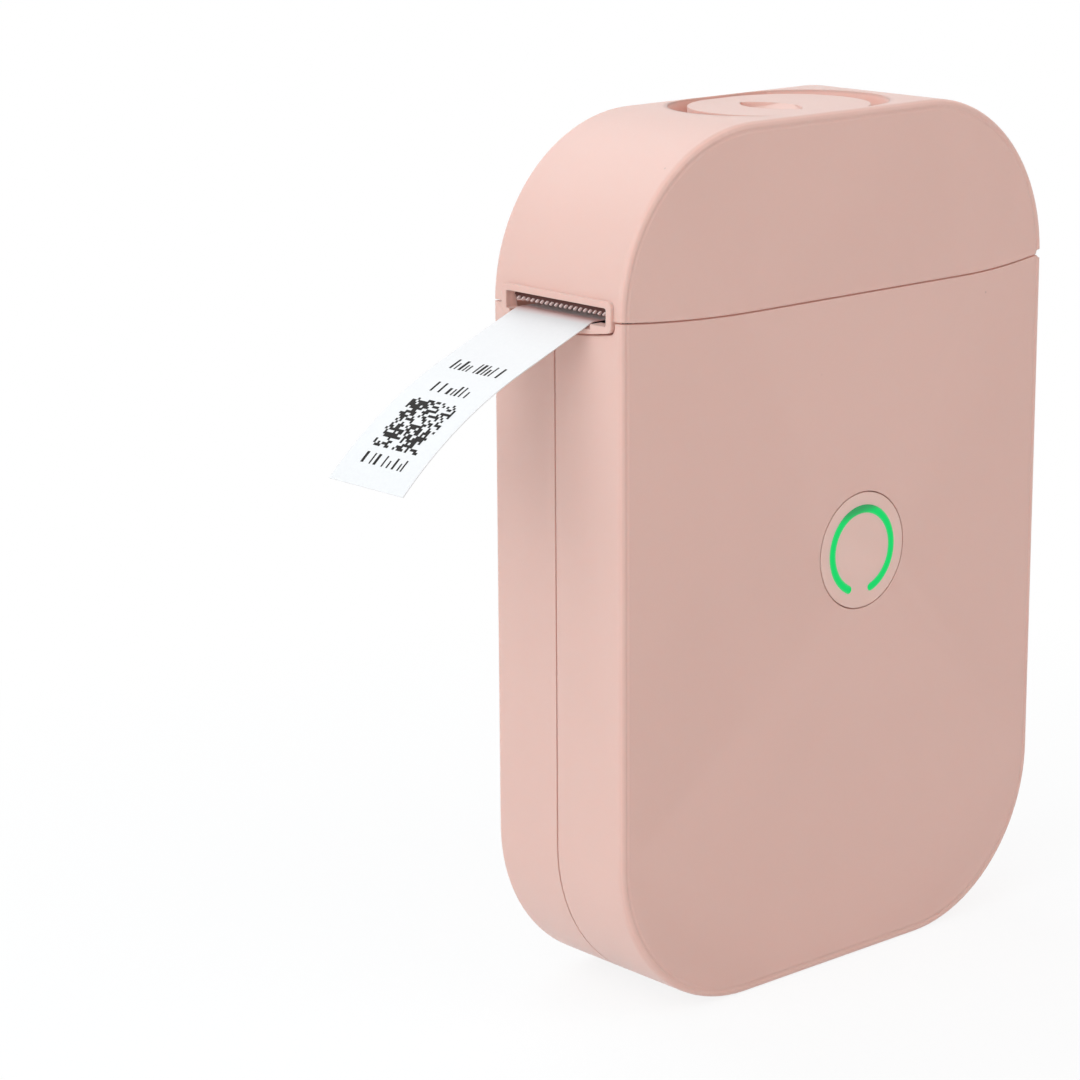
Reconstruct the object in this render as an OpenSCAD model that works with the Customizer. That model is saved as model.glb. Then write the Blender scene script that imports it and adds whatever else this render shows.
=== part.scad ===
// Handheld thermal label printer with a hinged lid, drop-in label roll and round power button.
// All sizes in millimetres; bottom of the case at z = 0, outlet on -X, power button on -Y.

/* [Case] */
// Width of the case across the big face
body_w = 88; // [87:0.2:90]
// Thickness of the case
body_t = 27; // [26.8:0.2:28.6]
// Height of the case
body_h = 130; // [129:0.5:134]
// Radius of the two upper corners
top_corner_r = 25.8; // [25.2:0.2:26.4]
// Radius of the two lower corners
bottom_corner_r = 25.4; // [24.6:0.2:26.4]
// Rounding between the big faces and the side wall
edge_r = 0.9; // [0.6:0.1:1.2]
// Depth of the fine groove that frames the big faces
face_groove = 0.12; // [0.06:0.02:0.2]
// Wall thickness of the mouldings
wall = 1.4; // [1.2:0.1:1.5]

/* [Lid] */
// Height of the lid above its seam on the big faces
lid_h = 27; // [26.4:0.1:27.4]
// Rise of the seam at the narrow sides
seam_rise = 1.5; // [1.2:0.05:1.7]
// Gap of the lid seam
seam_gap = 0.25; // [0.2:0.05:0.4]

/* [Outlet] */
// Width of the outlet opening
outlet_w = 20.9; // [20.5:0.1:21.2]
// Height of the outlet opening
outlet_h = 2.6; // [2.5:0.1:2.8]
// How far the outlet frame stands proud
outlet_proud = 0.5; // [0.3:0.1:0.8]
// Number of teeth on the tear bar
tear_teeth = 20; // [16:1:24]

/* [Labels] */
// Width of the label tape
tape_w = 16; // [14:0.5:16.5]
// Thickness of the label tape
tape_t = 0.15; // [0.1:0.05:0.2]
// Outer radius of the label roll
roll_r = 16; // [13:0.5:16.5]
// Outer radius of the roll core
core_r = 7.4; // [6:0.2:8]
// Radius of the curl in the free end
curl_r = 64; // [50:1:90]
// Straight length before the curl
strip_len = 14; // [8:1:20]

/* [Buttons] */
// Radius of the power button
power_r = 8.8; // [8.3:0.1:9]
// Mean radius of the light ring
ring_r = 6.3; // [5.8:0.1:6.6]
// Width of the light ring
ring_w = 1.25; // [1:0.05:1.5]
// End radius of the release button
release_r = 12; // [11.4:0.1:12]
// Half of the straight length of the release button
release_s = 2; // [1.5:0.1:2.4]
// Travel of the release button
release_travel = 1.8; // [1.4:0.1:1.8]

/* [Drive] */
// Radius of the platen roller
platen_r = 4; // [3.6:0.1:4]
// Gear module
gear_m = 0.4; // [0.38:0.01:0.4]
// Teeth of the platen gear
platen_teeth = 18; // [16:1:18]
// Teeth of the idler gear
idler_teeth = 36; // [34:1:36]
// Teeth of the motor pinion
pinion_teeth = 12; // [12:1:14]

/* [View] */
// Which sub-part to draw

/* [Hidden] */
$fn = 96;
clear = 0.3; // gap between pieces that move past each other
fit = 0.05; // running fit on a pin
hw = body_w / 2;
ht = body_t / 2;
iw = hw - wall; // inner half width
it = ht - wall; // inner half thickness
split_y = 0.2; // parting plane of the two body shells
seam_z = body_h - lid_h; // height of the lid seam on the big faces
seam_left = 18; // the seam rises past these distances from the middle
seam_right = 26;
side_seam = seam_z + seam_rise; // seam height on the narrow sides
over = 30; // size of cutting bodies past the case
tongue_x0 = -hw + 10.3; // ends of the tongues that locate the lid
tongue_x1 = hw - 8.3;
c_shell = [0.91, 0.75, 0.71];
c_steel = [0.75, 0.76, 0.78];
c_dark = [0.16, 0.16, 0.17];
c_white = [0.95, 0.95, 0.94];
c_inner = [0.86, 0.66, 0.62];

// outlet and tape path
out_y = -0.5; // centre of the outlet frame
out_z0 = seam_z + 0.8; // underside of the opening
out_z1 = out_z0 + outlet_h;
frame_side = 1.05;
frame_top = 0.9;
frame_low = 0.9;
frame_bow = 0.9; // bow of the lower edge of the frame
frame_r = 0.9; // corner radius of the outlet frame
frame_y0 = out_y - outlet_w / 2 - frame_side;
frame_y1 = out_y + outlet_w / 2 + frame_side;
frame_z0 = out_z0 - frame_low;
frame_z1 = out_z1 + frame_top;
frame_x = -hw - outlet_proud;
tape_y = 0.75; // centre of the tape
tape_z = seam_z + 0.95; // centre of the tape where it runs level
tape_groove = 0.45; // depth of the tape groove in the sill
ty0 = tape_y - tape_w / 2;
ty1 = tape_y + tape_w / 2;

// drive positions
platen_x = -hw + 8.3;
platen_z = tape_z - tape_t / 2 - clear - platen_r;
py0 = tape_y - 8.35; // ends of the rubber
py1 = tape_y + 8.35;
plate_f0 = tape_y - 9.45; // outer face of the front side plate
plate_f1 = plate_f0 + 1;
plate_r0 = tape_y + 8.45; // inner face of the rear side plate
plate_r1 = plate_r0 + 1;
gear_y0 = plate_f0 - 2.3;
gear_y1 = plate_f0 - 0.5;
platen_pr = gear_m * platen_teeth / 2;
idler_pr = gear_m * idler_teeth / 2;
pinion_pr = gear_m * pinion_teeth / 2;
drive_b = 75; // lean of the line from platen to idler
drive_a = 60; // lean of the line from idler to pinion
idler_x = platen_x + (platen_pr + idler_pr) * cos(drive_b);
idler_z = platen_z - (platen_pr + idler_pr) * sin(drive_b);
idler_phase = 180 - drive_b + 180 / idler_teeth;
motor_x = idler_x + (idler_pr + pinion_pr) * cos(drive_a);
motor_z = idler_z - (idler_pr + pinion_pr) * sin(drive_a);
shaft_r = 1.25;
bush_r = 2.5;
motor_r = 7.5;
stud_r = 1.2;
flange_s = 9.3; // screw distance of the motor flange

// roll bay
bay_x = 6;
bay_r = 17.8;
bay_wall = 1.2;
roll_z = tape_z - tape_t / 2 - clear - roll_r;
bay_z = tape_z - tape_t / 2 - clear - 16 - clear - 16 + bay_r;
bay_y0 = plate_f0;
bay_y1 = plate_r1;
bay_side = 0.85;
bay_top = seam_z - 0.45;
deck_z = seam_z - 1.7; // top of the tape deck
deck_t = 1;

// hinge
hinge_x = hw - 0.6;
hinge_z = side_seam;
knuckle_r = 1.4;
hinge_pin_r = 0.6;
knuckle_y = 4.05; // where the knuckles meet
knuckle_end = 8;
knuckle_gap = 0.15;
relief_x = hinge_x - 0.35;
relief_z = hinge_z - 0.85;

// latch and release button
latch_x = -hw + 20.3;
latch_z = body_h - 14;
hook_z = seam_z - 3.15; // upper face of the hook nose
hook_x = latch_x + 3.6; // tip of the hook nose
catch_x = hook_x - 1.2;
leg_f0 = plate_f0 - 2.1;
leg_f1 = plate_f0 - 0.7;
leg_r0 = plate_r1 + clear;
leg_r1 = leg_r0 + 1.2;
latch_pin_r = 1;
tail_x = latch_x + 19;
bar_z0 = latch_z + 1;
bar_z1 = latch_z + 3.4;
recess_r = 12.4;
recess_s = 5.5;
recess_z = body_h - 2.2;
pocket_z = recess_z - 1.4;
cap_z = body_h - 0.3;
cap_t = 1.6;
leaf_x = -1.7; // middle of the finger scoop
skirt_z = pocket_z - 1.2;
bridge_z0 = body_h - 18;
bridge_z1 = bridge_z0 + 1.4;
post_x = 17.8;
post_y = 6.6;
post_r = 2.2;
spring_x = 5;

// print head
head_px = -hw + 14.8; // pivot of the head
head_pz = tape_z + 7.25;
head_x0 = platen_x - 3;
head_x1 = platen_x + 2.6;
head_z = tape_z + tape_t / 2 + clear;
head_t = 0.8;
sink_z1 = head_z + head_t + 2.5;
head_pin_r = 1;
arm_w = 1.2;
sink_y0 = tape_y - 8.65;
sink_y1 = tape_y + 8.65;
head_spring_z = sink_z1 + 5.4;
head_spring_y = 4.3;

// power button
board_y0 = -ht + 5.1;
board_y1 = board_y0 + 1;
board_x0 = -hw + 10.3;
board_x1 = hw - 8.3;
board_h = 29.4;
board_z1 = bay_z - bay_r - bay_wall - 0.7; // just below the roll bay
board_z0 = board_z1 - board_h;
power_x = 4.85;
power_z = board_z1 - 5.3;
power_flange = power_r + 1.1;
power_gap = 0.2; // gap round the power button
switch_t = 1;
plunger_y = board_y0 - switch_t - 0.5;
boss_y = plunger_y - clear;

// socket, battery and screws
usb_z = board_z0 + 12;
usb_y = board_y1 + 1.6;
usb_w = 8.94;
usb_t = 3.2;
usb_len = 7.4;
bat_x = 25;
bat_z0 = 6;
bat_z1 = board_z0; // the battery fills the space below the board
bat_t = 8;
pad_t = 0.6;
screw_at = [[-hw + 14.3, 12], [hw - 14.3, 12], [-iw + 4.5, board_z1 - 7.4], [iw - 5, bay_z - 5.1]];
screw_r = 1;
board_screw_at = [[board_x0 + 3, board_z0 + 3], [board_x1 - 3, board_z0 + 3],
    [board_x0 + 3, board_z1 - 3], [board_x1 - 3, board_z1 - 3]];
ear_at = [[platen_x - 2.2, platen_z - 6.3], [bay_x + bay_r + 5.2, bay_z + 1], [bay_x, bay_z - bay_r - 4.2]];

// ---------- helpers ----------
module bx(x0, x1, y0, y1, z0, z1) {
    translate([x0, y0, z0]) cube([x1 - x0, y1 - y0, z1 - z0]);
}

// cylinder along Y at (x, z)
module ycyl(x, z, r, y0, y1) {
    translate([x, y0, z]) rotate([-90, 0, 0]) cylinder(r = r, h = y1 - y0);
}

module zcyl(x, y, r, z0, z1) {
    translate([x, y, z0]) cylinder(r = r, h = z1 - z0);
}

// a drawing in X and Z, extruded along Y
module yprism(y0, y1) {
    translate([0, y1, 0]) rotate([90, 0, 0]) linear_extrude(height = y1 - y0) children();
}

// a drawing in Y and Z, extruded along X
module xprism(x0, x1) {
    translate([x0, 0, 0]) rotate([90, 0, 90]) linear_extrude(height = x1 - x0) children();
}

module rrect(x0, x1, y0, y1, r) {
    translate([x0 + r, y0]) square([x1 - x0 - 2 * r, y1 - y0]);
    translate([x0, y0 + r]) square([x1 - x0, y1 - y0 - 2 * r]);
    for (x = [x0 + r, x1 - r])
        for (y = [y0 + r, y1 - r])
            translate([x, y]) circle(r);
}

module stadium(r, s) {
    translate([-s, -r]) square([2 * s, 2 * r]);
    translate([-s, 0]) circle(r);
    translate([s, 0]) circle(r);
}

// section through the rim of the case, from its centre plane outward
module rim_section(len, i) {
    er = max(edge_r - i, 0.4);
    half = ht - i;
    groove_r = 0.5;
    difference() {
        union() {
            translate([0, er - half]) square([len, 2 * (half - er)]);
            translate([0, -half]) square([len - er, 2 * half]);
            translate([len - er, half - er]) circle(er);
            translate([len - er, er - half]) circle(er);
        }
        // groove that frames the big faces
        if (i == 0)
            for (s = [-1, 1])
                translate([len - er - 0.3, s * (half + groove_r - face_groove)]) circle(groove_r);
    }
}

module puck(r, i) {
    rotate([90, 0, 0]) rotate_extrude(angle = 90) rim_section(r - i, i);
}

module end_run(r, i) {
    translate([hw - r, 0, 0]) rotate([0, -90, 0]) linear_extrude(height = 2 * (hw - r)) rim_section(r - i, i);
    for (m = [0, 1])
        mirror([m, 0, 0]) translate([hw - r, 0, 0]) puck(r, i);
}

// the outer form of the case, inset by i
module pill(i) {
    translate([0, 0, body_h - top_corner_r]) end_run(top_corner_r, i);
    translate([0, 0, bottom_corner_r]) mirror([0, 0, 1]) end_run(bottom_corner_r, i);
    translate([0, 0, bottom_corner_r])
        linear_extrude(height = body_h - top_corner_r - bottom_corner_r)
            for (m = [0, 1])
                mirror([m, 0]) rim_section(hw - i, i);
}

module hollow_case() {
    difference() {
        pill(0);
        pill(wall);
    }
}

function seam(x) = seam_z + seam_rise * pow(max(0, -x - seam_left) / (hw - seam_left), 2)
    + seam_rise * pow(max(0, x - seam_right) / (hw - seam_right), 2);

// points of the seam line from left to right, moved up by d
function seam_line(d) = concat(
    [for (i = [0:14]) let (x = -hw - 2 + i * (hw + 2 - seam_left) / 14) [x, seam(x) + d]],
    [for (i = [0:10]) let (x = seam_right + i * (hw + 2 - seam_right) / 10) [x, seam(x) + d]]);

module below_seam(d) {
    yprism(-over, over)
        polygon(concat(seam_line(d), [[hw + 2, -over], [-hw - 2, -over]]));
}

module above_seam(d) {
    yprism(-over, over)
        polygon(concat(seam_line(d), [[hw + 2, body_h + over], [-hw - 2, body_h + over]]));
}

// thin groove that marks the parting line of the two shells
module parting_groove() {
    groove = 0.14;
    difference() {
        bx(-hw - 1, hw + 1, split_y - groove, split_y + groove, -1, seam_z + 4);
        pill(0.6);
    }
}

module outlet_outline(d) {
    half = (frame_y1 - frame_y0) / 2 - frame_r;
    bow_r = (half * half + frame_bow * frame_bow) / (2 * frame_bow);
    rrect(frame_y0 - d, frame_y1 + d, frame_z0 - d, frame_z1 + d, frame_r + d);
    // bowed lower edge
    intersection() {
        translate([out_y, frame_z0 - frame_bow + bow_r]) circle(bow_r + d);
        translate([out_y - half, frame_z0 - frame_bow - 2]) square([2 * half, frame_bow + 2.5]);
    }
}

// ---------- case ----------
module shell_cuts() {
    // notch for the outlet frame of the lid
    xprism(-hw - 2, -hw + wall + 2) outlet_outline(clear);
    // step below the hinged edge of the lid
    bx(relief_x, hw + 2, -ht - 1, ht + 1, relief_z, hinge_z + 3);
    // room for the knuckle of the lid
    ycyl(hinge_x, hinge_z, knuckle_r + clear, -knuckle_y, knuckle_y);
    parting_groove();
}

module shell_tongue(s) {
    lip = 0.5;
    y0 = s > 0 ? it : -it - lip;
    bx(tongue_x0, tongue_x1, y0, y0 + lip, seam_z - 2, seam_z + 1.6);
}

module shell_knuckle(s) {
    y0 = s > 0 ? knuckle_y + knuckle_gap : -knuckle_end;
    y1 = y0 + knuckle_end - knuckle_y - knuckle_gap;
    ycyl(hinge_x, hinge_z, knuckle_r, y0, y1);
    bx(iw, hw, y0, y1, hinge_z - 4, hinge_z);
}

module front_shell() {
    color(c_shell) difference() {
        union() {
            difference() {
                intersection() {
                    hollow_case();
                    below_seam(-seam_gap / 2);
                    bx(-hw - 2, hw + 2, -over, split_y, -2, body_h);
                }
                shell_cuts();
            }
            shell_tongue(-1);
            shell_knuckle(-1);
            for (p = screw_at)
                ycyl(p[0], p[1], 2.8, -it - 0.5, split_y);
            for (p = board_screw_at)
                ycyl(p[0], p[1], 2.2, -it - 0.5, board_y0);
        }
        ycyl(power_x, power_z, power_r + power_gap, -ht - 1, -it + 1);
        ycyl(hinge_x, hinge_z, hinge_pin_r + fit, -over, over);
        for (p = screw_at)
            ycyl(p[0], p[1], screw_r, -8, split_y + 1);
        for (p = board_screw_at)
            ycyl(p[0], p[1], 0.8, -it + 0.2, board_y0 + 1);
        xprism(iw - 1, hw + 1)
            rrect(usb_y - usb_t / 2 - clear, usb_y + usb_t / 2 + clear,
                usb_z - usb_w / 2 - clear, usb_z + usb_w / 2 + clear, usb_t / 2);
    }
}

module rear_shell() {
    color(c_shell) difference() {
        union() {
            difference() {
                intersection() {
                    hollow_case();
                    below_seam(-seam_gap / 2);
                    bx(-hw - 2, hw + 2, split_y, over, -2, body_h);
                }
                shell_cuts();
            }
            shell_tongue(1);
            shell_knuckle(1);
            for (p = screw_at)
                ycyl(p[0], p[1], 2.8, split_y, it + 0.5);
            for (p = ear_at)
                ycyl(p[0], p[1], 2.2, plate_r1, it + 0.5);
        }
        for (p = screw_at) {
            ycyl(p[0], p[1], screw_r + clear, split_y - 1, ht + 1);
            ycyl(p[0], p[1], 2.4, ht - 2, ht + 1);
        }
        for (p = ear_at)
            ycyl(p[0], p[1], 0.8, plate_r1 - 1, ht - 1);
        ycyl(hinge_x, hinge_z, hinge_pin_r + fit, -over, over);
    }
}

module lid_bracket(x, z, r, y0, y1) {
    ycyl(x, z, r, y0, y1);
    bx(x - r, x + r, y0, y1, z, body_h);
}

module lid() {
    color(c_shell) difference() {
        union() {
            difference() {
                intersection() {
                    union() {
                        hollow_case();
                        intersection() {
                            pill(0.3);
                            union() {
                                // pocket of the release button
                                translate([0, 0, pocket_z])
                                    linear_extrude(height = body_h - pocket_z)
                                        stadium(recess_r + 1.5, recess_s);
                                // posts for the bridge
                                for (x = [-post_x, post_x])
                                    for (y = [-post_y, post_y])
                                        zcyl(x, y, post_r, bridge_z1, body_h);
                                // seats of the head springs
                                for (s = [-1, 1])
                                    zcyl(platen_x, tape_y + s * head_spring_y, 2.4, head_spring_z, body_h);
                                lid_bracket(head_px, head_pz, 2.2, sink_y0 - 1.7, sink_y0 - clear);
                                lid_bracket(head_px, head_pz, 2.2, sink_y1 + clear, sink_y1 + 1.7);
                                lid_bracket(latch_x, latch_z, 2.4, -2, 2);
                                // shelf that holds the tear bar
                                bx(-iw - 1, -iw + 2.2, frame_y0 + 0.4, frame_y1 - 0.4, out_z1, out_z1 + 2.6);
                            }
                        }
                    }
                    above_seam(seam_gap / 2);
                }
                // rebate over the tongues of the shells
                for (s = [-1, 1])
                    translate([0, s * (it - 1), 0])
                        bx(tongue_x0 - 1, tongue_x1 + 1, -1.7, 1.7, seam_z - 2, seam_z + 1.9);
                // room for the knuckles of the shells
                for (y = [-knuckle_end - 0.15, knuckle_y])
                    ycyl(hinge_x, hinge_z, knuckle_r + clear, y, y + knuckle_end - knuckle_y + 0.15);
            }
            // outlet frame
            xprism(frame_x, -iw + 0.2) outlet_outline(0);
            // hinge knuckle
            ycyl(hinge_x, hinge_z, knuckle_r, -knuckle_y + knuckle_gap, knuckle_y - knuckle_gap);
            bx(iw, hw, -knuckle_y + knuckle_gap, knuckle_y - knuckle_gap, hinge_z, hinge_z + 4);
        }
        // outlet opening, with a sloped groove for the tape in its sill
        xprism(frame_x - 1, -iw + 3) rrect(out_y - outlet_w / 2, out_y + outlet_w / 2, out_z0, out_z1, 0.3);
        yprism(ty0 - 0.5, ty1 + 0.5)
            polygon([[-iw + 3, out_z0 + 0.5], [-iw + 3, out_z0 - tape_groove],
                [-hw + 0.4, out_z0 - tape_groove],
                [frame_x - 1, out_z0 - tape_groove - 0.75], [frame_x - 1, out_z0 + 0.5]]);
        // recess and well of the release button
        translate([0, 0, recess_z]) linear_extrude(height = 5) stadium(recess_r, recess_s);
        translate([0, 0, pocket_z - 2]) linear_extrude(height = 8) stadium(release_r + clear, release_s);
        // slot that seats the tear bar
        tear_place() tear_blank(0);
        ycyl(hinge_x, hinge_z, hinge_pin_r + fit, -over, over);
        ycyl(head_px, head_pz, head_pin_r, sink_y0 - 3, sink_y1 + 3);
        ycyl(latch_x, latch_z, latch_pin_r, -4, 4);
        for (x = [-post_x, post_x])
            for (y = [-post_y, post_y])
                zcyl(x, y, 0.8, bridge_z1 - 1, bridge_z1 + 6);
    }
}

// ---------- release button, bridge and latch ----------
module release_button() {
    skirt = 1.2;
    color(c_shell) difference() {
        union() {
            translate([0, 0, skirt_z]) linear_extrude(height = cap_z - skirt_z)
                stadium(release_r, release_s);
            for (s = [-1, 1])
                translate([s * (release_r + release_s + 0.6), 0, 0])
                    bx(-1.4, 1.4, -3.5, 3.5, skirt_z, pocket_z - clear);
        }
        difference() {
            translate([0, 0, skirt_z - 1]) linear_extrude(height = cap_z - cap_t - skirt_z + 1)
                stadium(release_r - skirt, release_s);
            zcyl(spring_x, 0, 1.8, skirt_z - 9, cap_z);
            bx(tail_x - 1.6, tail_x - 0.2, -3, 3, skirt_z - 9, cap_z);
        }
        // leaf-shaped finger scoop
        intersection() {
            yprism(-over, over) translate([leaf_x, cap_z + 5]) circle(6);
            translate([leaf_x, 0, cap_z - 1.2]) linear_extrude(height = 4) intersection() {
                translate([-3.95, 0]) circle(7.35);
                translate([3.95, 0]) circle(7.35);
            }
        }
    }
    color(c_shell) {
        zcyl(spring_x, 0, 1.8, bridge_z1 + release_travel + 2.8, cap_z - cap_t);
        bx(tail_x - 1.6, tail_x - 0.2, -3, 3, bar_z1 + clear, cap_z - cap_t);
    }
}

module release_spring() {
    color(c_steel) difference() {
        zcyl(spring_x, 0, 2.8, bridge_z1, cap_z - cap_t);
        zcyl(spring_x, 0, 2.2, bridge_z1 - 1, cap_z);
    }
}

module lid_bridge() {
    color(c_inner) difference() {
        translate([0, 0, bridge_z0]) linear_extrude(height = bridge_z1 - bridge_z0) difference() {
            rrect(-post_x - 3, post_x + 3, -post_y - 2.4, post_y + 2.4, 3);
            for (x = [-post_x, post_x])
                for (y = [-post_y, post_y])
                    translate([x, y]) circle(1.1);
            rrect(-13, -2, -4, 4, 2);
        }
        zcyl(spring_x, 0, 3.1, bridge_z1 - 0.4, bridge_z1 + 1);
    }
    color(c_inner) difference() {
        zcyl(spring_x, 0, 3.1, bridge_z1 - 0.5, bridge_z1);
    }
}

module screws_lid() {
    color(c_steel)
        for (x = [-post_x, post_x])
            for (y = [-post_y, post_y]) {
                zcyl(x, y, 0.8, bridge_z0 - 0.2, bridge_z1 + 5);
                difference() {
                    zcyl(x, y, 1.7, bridge_z0 - 1.1, bridge_z0);
                    bx(x - 1.2, x + 1.2, y - 0.2, y + 0.2, bridge_z0 - 2, bridge_z0 - 0.6);
                    bx(x - 0.2, x + 0.2, y - 1.2, y + 1.2, bridge_z0 - 2, bridge_z0 - 0.6);
                }
            }
}

module lever_side() {
    translate([latch_x, latch_z]) circle(2.4);
    translate([latch_x - 1.2, hook_z - 1.3]) square([2.4, latch_z - hook_z + 1.3]);
    polygon([[latch_x + 1, hook_z], [hook_x, hook_z], [hook_x, hook_z - 0.5], [hook_x - 0.8, hook_z - 1.3],
        [latch_x + 1, hook_z - 1.3]]);
    polygon([[latch_x, latch_z - 1.4], [tail_x, bar_z0], [tail_x, bar_z1], [latch_x, latch_z + 1.6]]);
}

module latch_lever() {
    color(c_dark) difference() {
        union() {
            yprism(leg_f0, leg_f1) lever_side();
            yprism(leg_r0, leg_r1) lever_side();
            bx(tail_x - 3, tail_x, leg_f0, leg_r1, bar_z0, bar_z1);
        }
        ycyl(latch_x, latch_z, latch_pin_r + fit, -over, over);
    }
}

module latch_pin() {
    color(c_steel) ycyl(latch_x, latch_z, latch_pin_r, -it, it);
}

module latch_spring() {
    color(c_steel) {
        difference() {
            ycyl(latch_x, latch_z, 1.9, 3, 7.4);
            ycyl(latch_x, latch_z, 1.3, 2, 9);
        }
        bx(latch_x - 0.3, latch_x + 0.3, 3, 3.5, latch_z + 1.6, latch_z + 9);
        bx(latch_x + 1.6, latch_x + 3.6, 6.9, 7.4, latch_z - 0.3, latch_z + 0.3);
    }
}

// ---------- print head and tear bar ----------
module head_sink() {
    color(c_steel) difference() {
        union() {
            bx(head_x0 - 0.5, head_x1 + 0.9, sink_y0, sink_y1, head_z + head_t, sink_z1);
            for (y = [sink_y0, sink_y1 - arm_w])
                yprism(y, y + arm_w) {
                    polygon([[head_x0 + 3, sink_z1 - 1], [head_x1 + 0.9, sink_z1 - 2.4],
                        [head_px + 1.6, head_pz - 1.4],
                        [head_px - 1, head_pz + 1.8], [head_x0 + 3, sink_z1 + 0.2]]);
                    translate([head_px, head_pz]) circle(2.2);
                }
        }
        // slots between the fins
        for (v = [-7, -3, 3, 7])
            bx(head_x0 - 2, head_x1 + 3, tape_y + v - 0.6, tape_y + v + 0.6, sink_z1 - 0.9, sink_z1 + 0.5);
        ycyl(head_px, head_pz, head_pin_r + fit, -over, over);
    }
}

module head_ceramic() {
    color(c_white)
        bx(head_x0, head_x1, tape_y - 8.3, tape_y + 8.3, head_z, head_z + head_t);
}

module head_driver() {
    color(c_dark)
        bx(head_x1 + clear, head_x1 + 0.9, tape_y - 6, tape_y + 6, head_z + head_t - 0.5, head_z + head_t);
}

module head_pin() {
    color(c_steel) ycyl(head_px, head_pz, head_pin_r, sink_y0 - 1.7, sink_y1 + 1.7);
}

module head_springs() {
    color(c_steel)
        for (s = [-1, 1])
            difference() {
                zcyl(platen_x, tape_y + s * head_spring_y, 1.9, sink_z1, head_spring_z);
                zcyl(platen_x, tape_y + s * head_spring_y, 1.4, sink_z1 - 1, head_spring_z + 1);
            }
}

module tear_place() {
    translate([-hw + 1.15, out_y, out_z1 - 0.85]) rotate([0, 25, 0]) children();
}

// plate of the tear bar without its teeth, in its own frame
module tear_blank(d) {
    xprism(-0.2 - d, 0.2 + d)
        translate([-outlet_w / 2 + 0.2, 0]) square([outlet_w - 0.4, 2.2]);
}

module tear_bar() {
    pitch = (outlet_w - 0.8) / tear_teeth;
    color(c_steel) tear_place() {
        tear_blank(0);
        xprism(-0.2, 0.2)
            polygon(concat(
                [[outlet_w / 2 - 0.4, 0.4], [-outlet_w / 2 + 0.4, 0.4], [-outlet_w / 2 + 0.4, 0]],
                [for (i = [0:tear_teeth - 1])
                    for (k = [0, 1])
                        [-outlet_w / 2 + 0.4 + pitch * (i + 0.5 + 0.5 * k), k == 0 ? -0.65 : 0]]));
    }
}

module hinge_pin() {
    color(c_steel) ycyl(hinge_x, hinge_z, hinge_pin_r, -knuckle_end, knuckle_end);
}

// ---------- chassis and drive ----------
module chassis() {
    color(c_inner) difference() {
        union() {
            difference() {
                union() {
                    ycyl(bay_x, bay_z, bay_r + bay_wall, bay_y0, bay_y1);
                    // side plates
                    yprism(plate_f0, plate_f1)
                        polygon([[-iw + 0.4, motor_z - 7], [-iw + 0.4, bay_top], [bay_x, bay_top],
                            [bay_x, bay_z - bay_r], [latch_x + 6, motor_z - 9], [motor_x, motor_z - 9]]);
                    yprism(plate_r0, plate_r1)
                        polygon([[-iw + 0.4, idler_z + 1], [-iw + 0.4, bay_top], [bay_x, bay_top],
                            [bay_x, bay_z - bay_r], [bay_x - 12, idler_z - 6]]);
                    // tape deck and floor between the plates
                    bx(platen_x + 5.2, bay_x, plate_f0, plate_r1, deck_z - deck_t, deck_z);
                    bx(-iw + 0.4, bay_x - 14, plate_f0, plate_r1, motor_z + 9, motor_z + 10);
                    // ears for the screws
                    for (i = [1, 2])
                        ycyl(ear_at[i][0], ear_at[i][1], 3, plate_r0, plate_r1);
                    bx(bay_x, ear_at[1][0], plate_r0, plate_r1, ear_at[1][1] - 3, ear_at[1][1] + 3);
                    bx(bay_x - 3, bay_x + 3, plate_r0, plate_r1, ear_at[2][1], bay_z);
                }
                ycyl(bay_x, bay_z, bay_r, bay_y0 + bay_side, bay_y1 - bay_side);
                bx(-hw, hw, -over, over, bay_top, body_h);
            }
            // catches for the latch
            bx(catch_x, catch_x + 2.6, leg_f0 - 0.2, plate_f1, hook_z + clear, hook_z + clear + 1.5);
            bx(catch_x, catch_x + 2.6, plate_r0, leg_r1 + 0.1, hook_z + clear, hook_z + clear + 1.5);
        }
        // clear of the rubber, bearings, motor and screws
        ycyl(platen_x, platen_z, bush_r, -over, over);
        ycyl(platen_x, platen_z, platen_r + 0.6, plate_f1, plate_r0);
        ycyl(motor_x, motor_z, 3, plate_f0 - 1, plate_f1 + 1);
        for (s = [-1, 1])
            ycyl(motor_x + s * flange_s, motor_z, 0.8, plate_f0 - 1, plate_f1 + 1);
        for (p = ear_at)
            ycyl(p[0], p[1], 1.1, plate_r0 - 1, plate_r1 + 1);
        ycyl(idler_x, idler_z, stud_r, plate_f0 - 1, plate_f1 + 1);
        // finger notches in the bay sides
        ycyl(bay_x, bay_top + 2, 8, -over, bay_y0 + bay_side + 0.2);
        ycyl(bay_x, bay_top + 2, 8, bay_y1 - bay_side - 0.2, over);
    }
}

module platen_rubber() {
    color(c_dark) difference() {
        ycyl(platen_x, platen_z, platen_r, py0, py1);
        ycyl(platen_x, platen_z, 2, py0 - 1, py1 + 1);
    }
}

module platen_shaft() {
    color(c_steel) {
        ycyl(platen_x, platen_z, 2, py0, py1);
        ycyl(platen_x, platen_z, shaft_r, gear_y0 - 0.3, plate_r1 + 0.8);
    }
}

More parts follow.
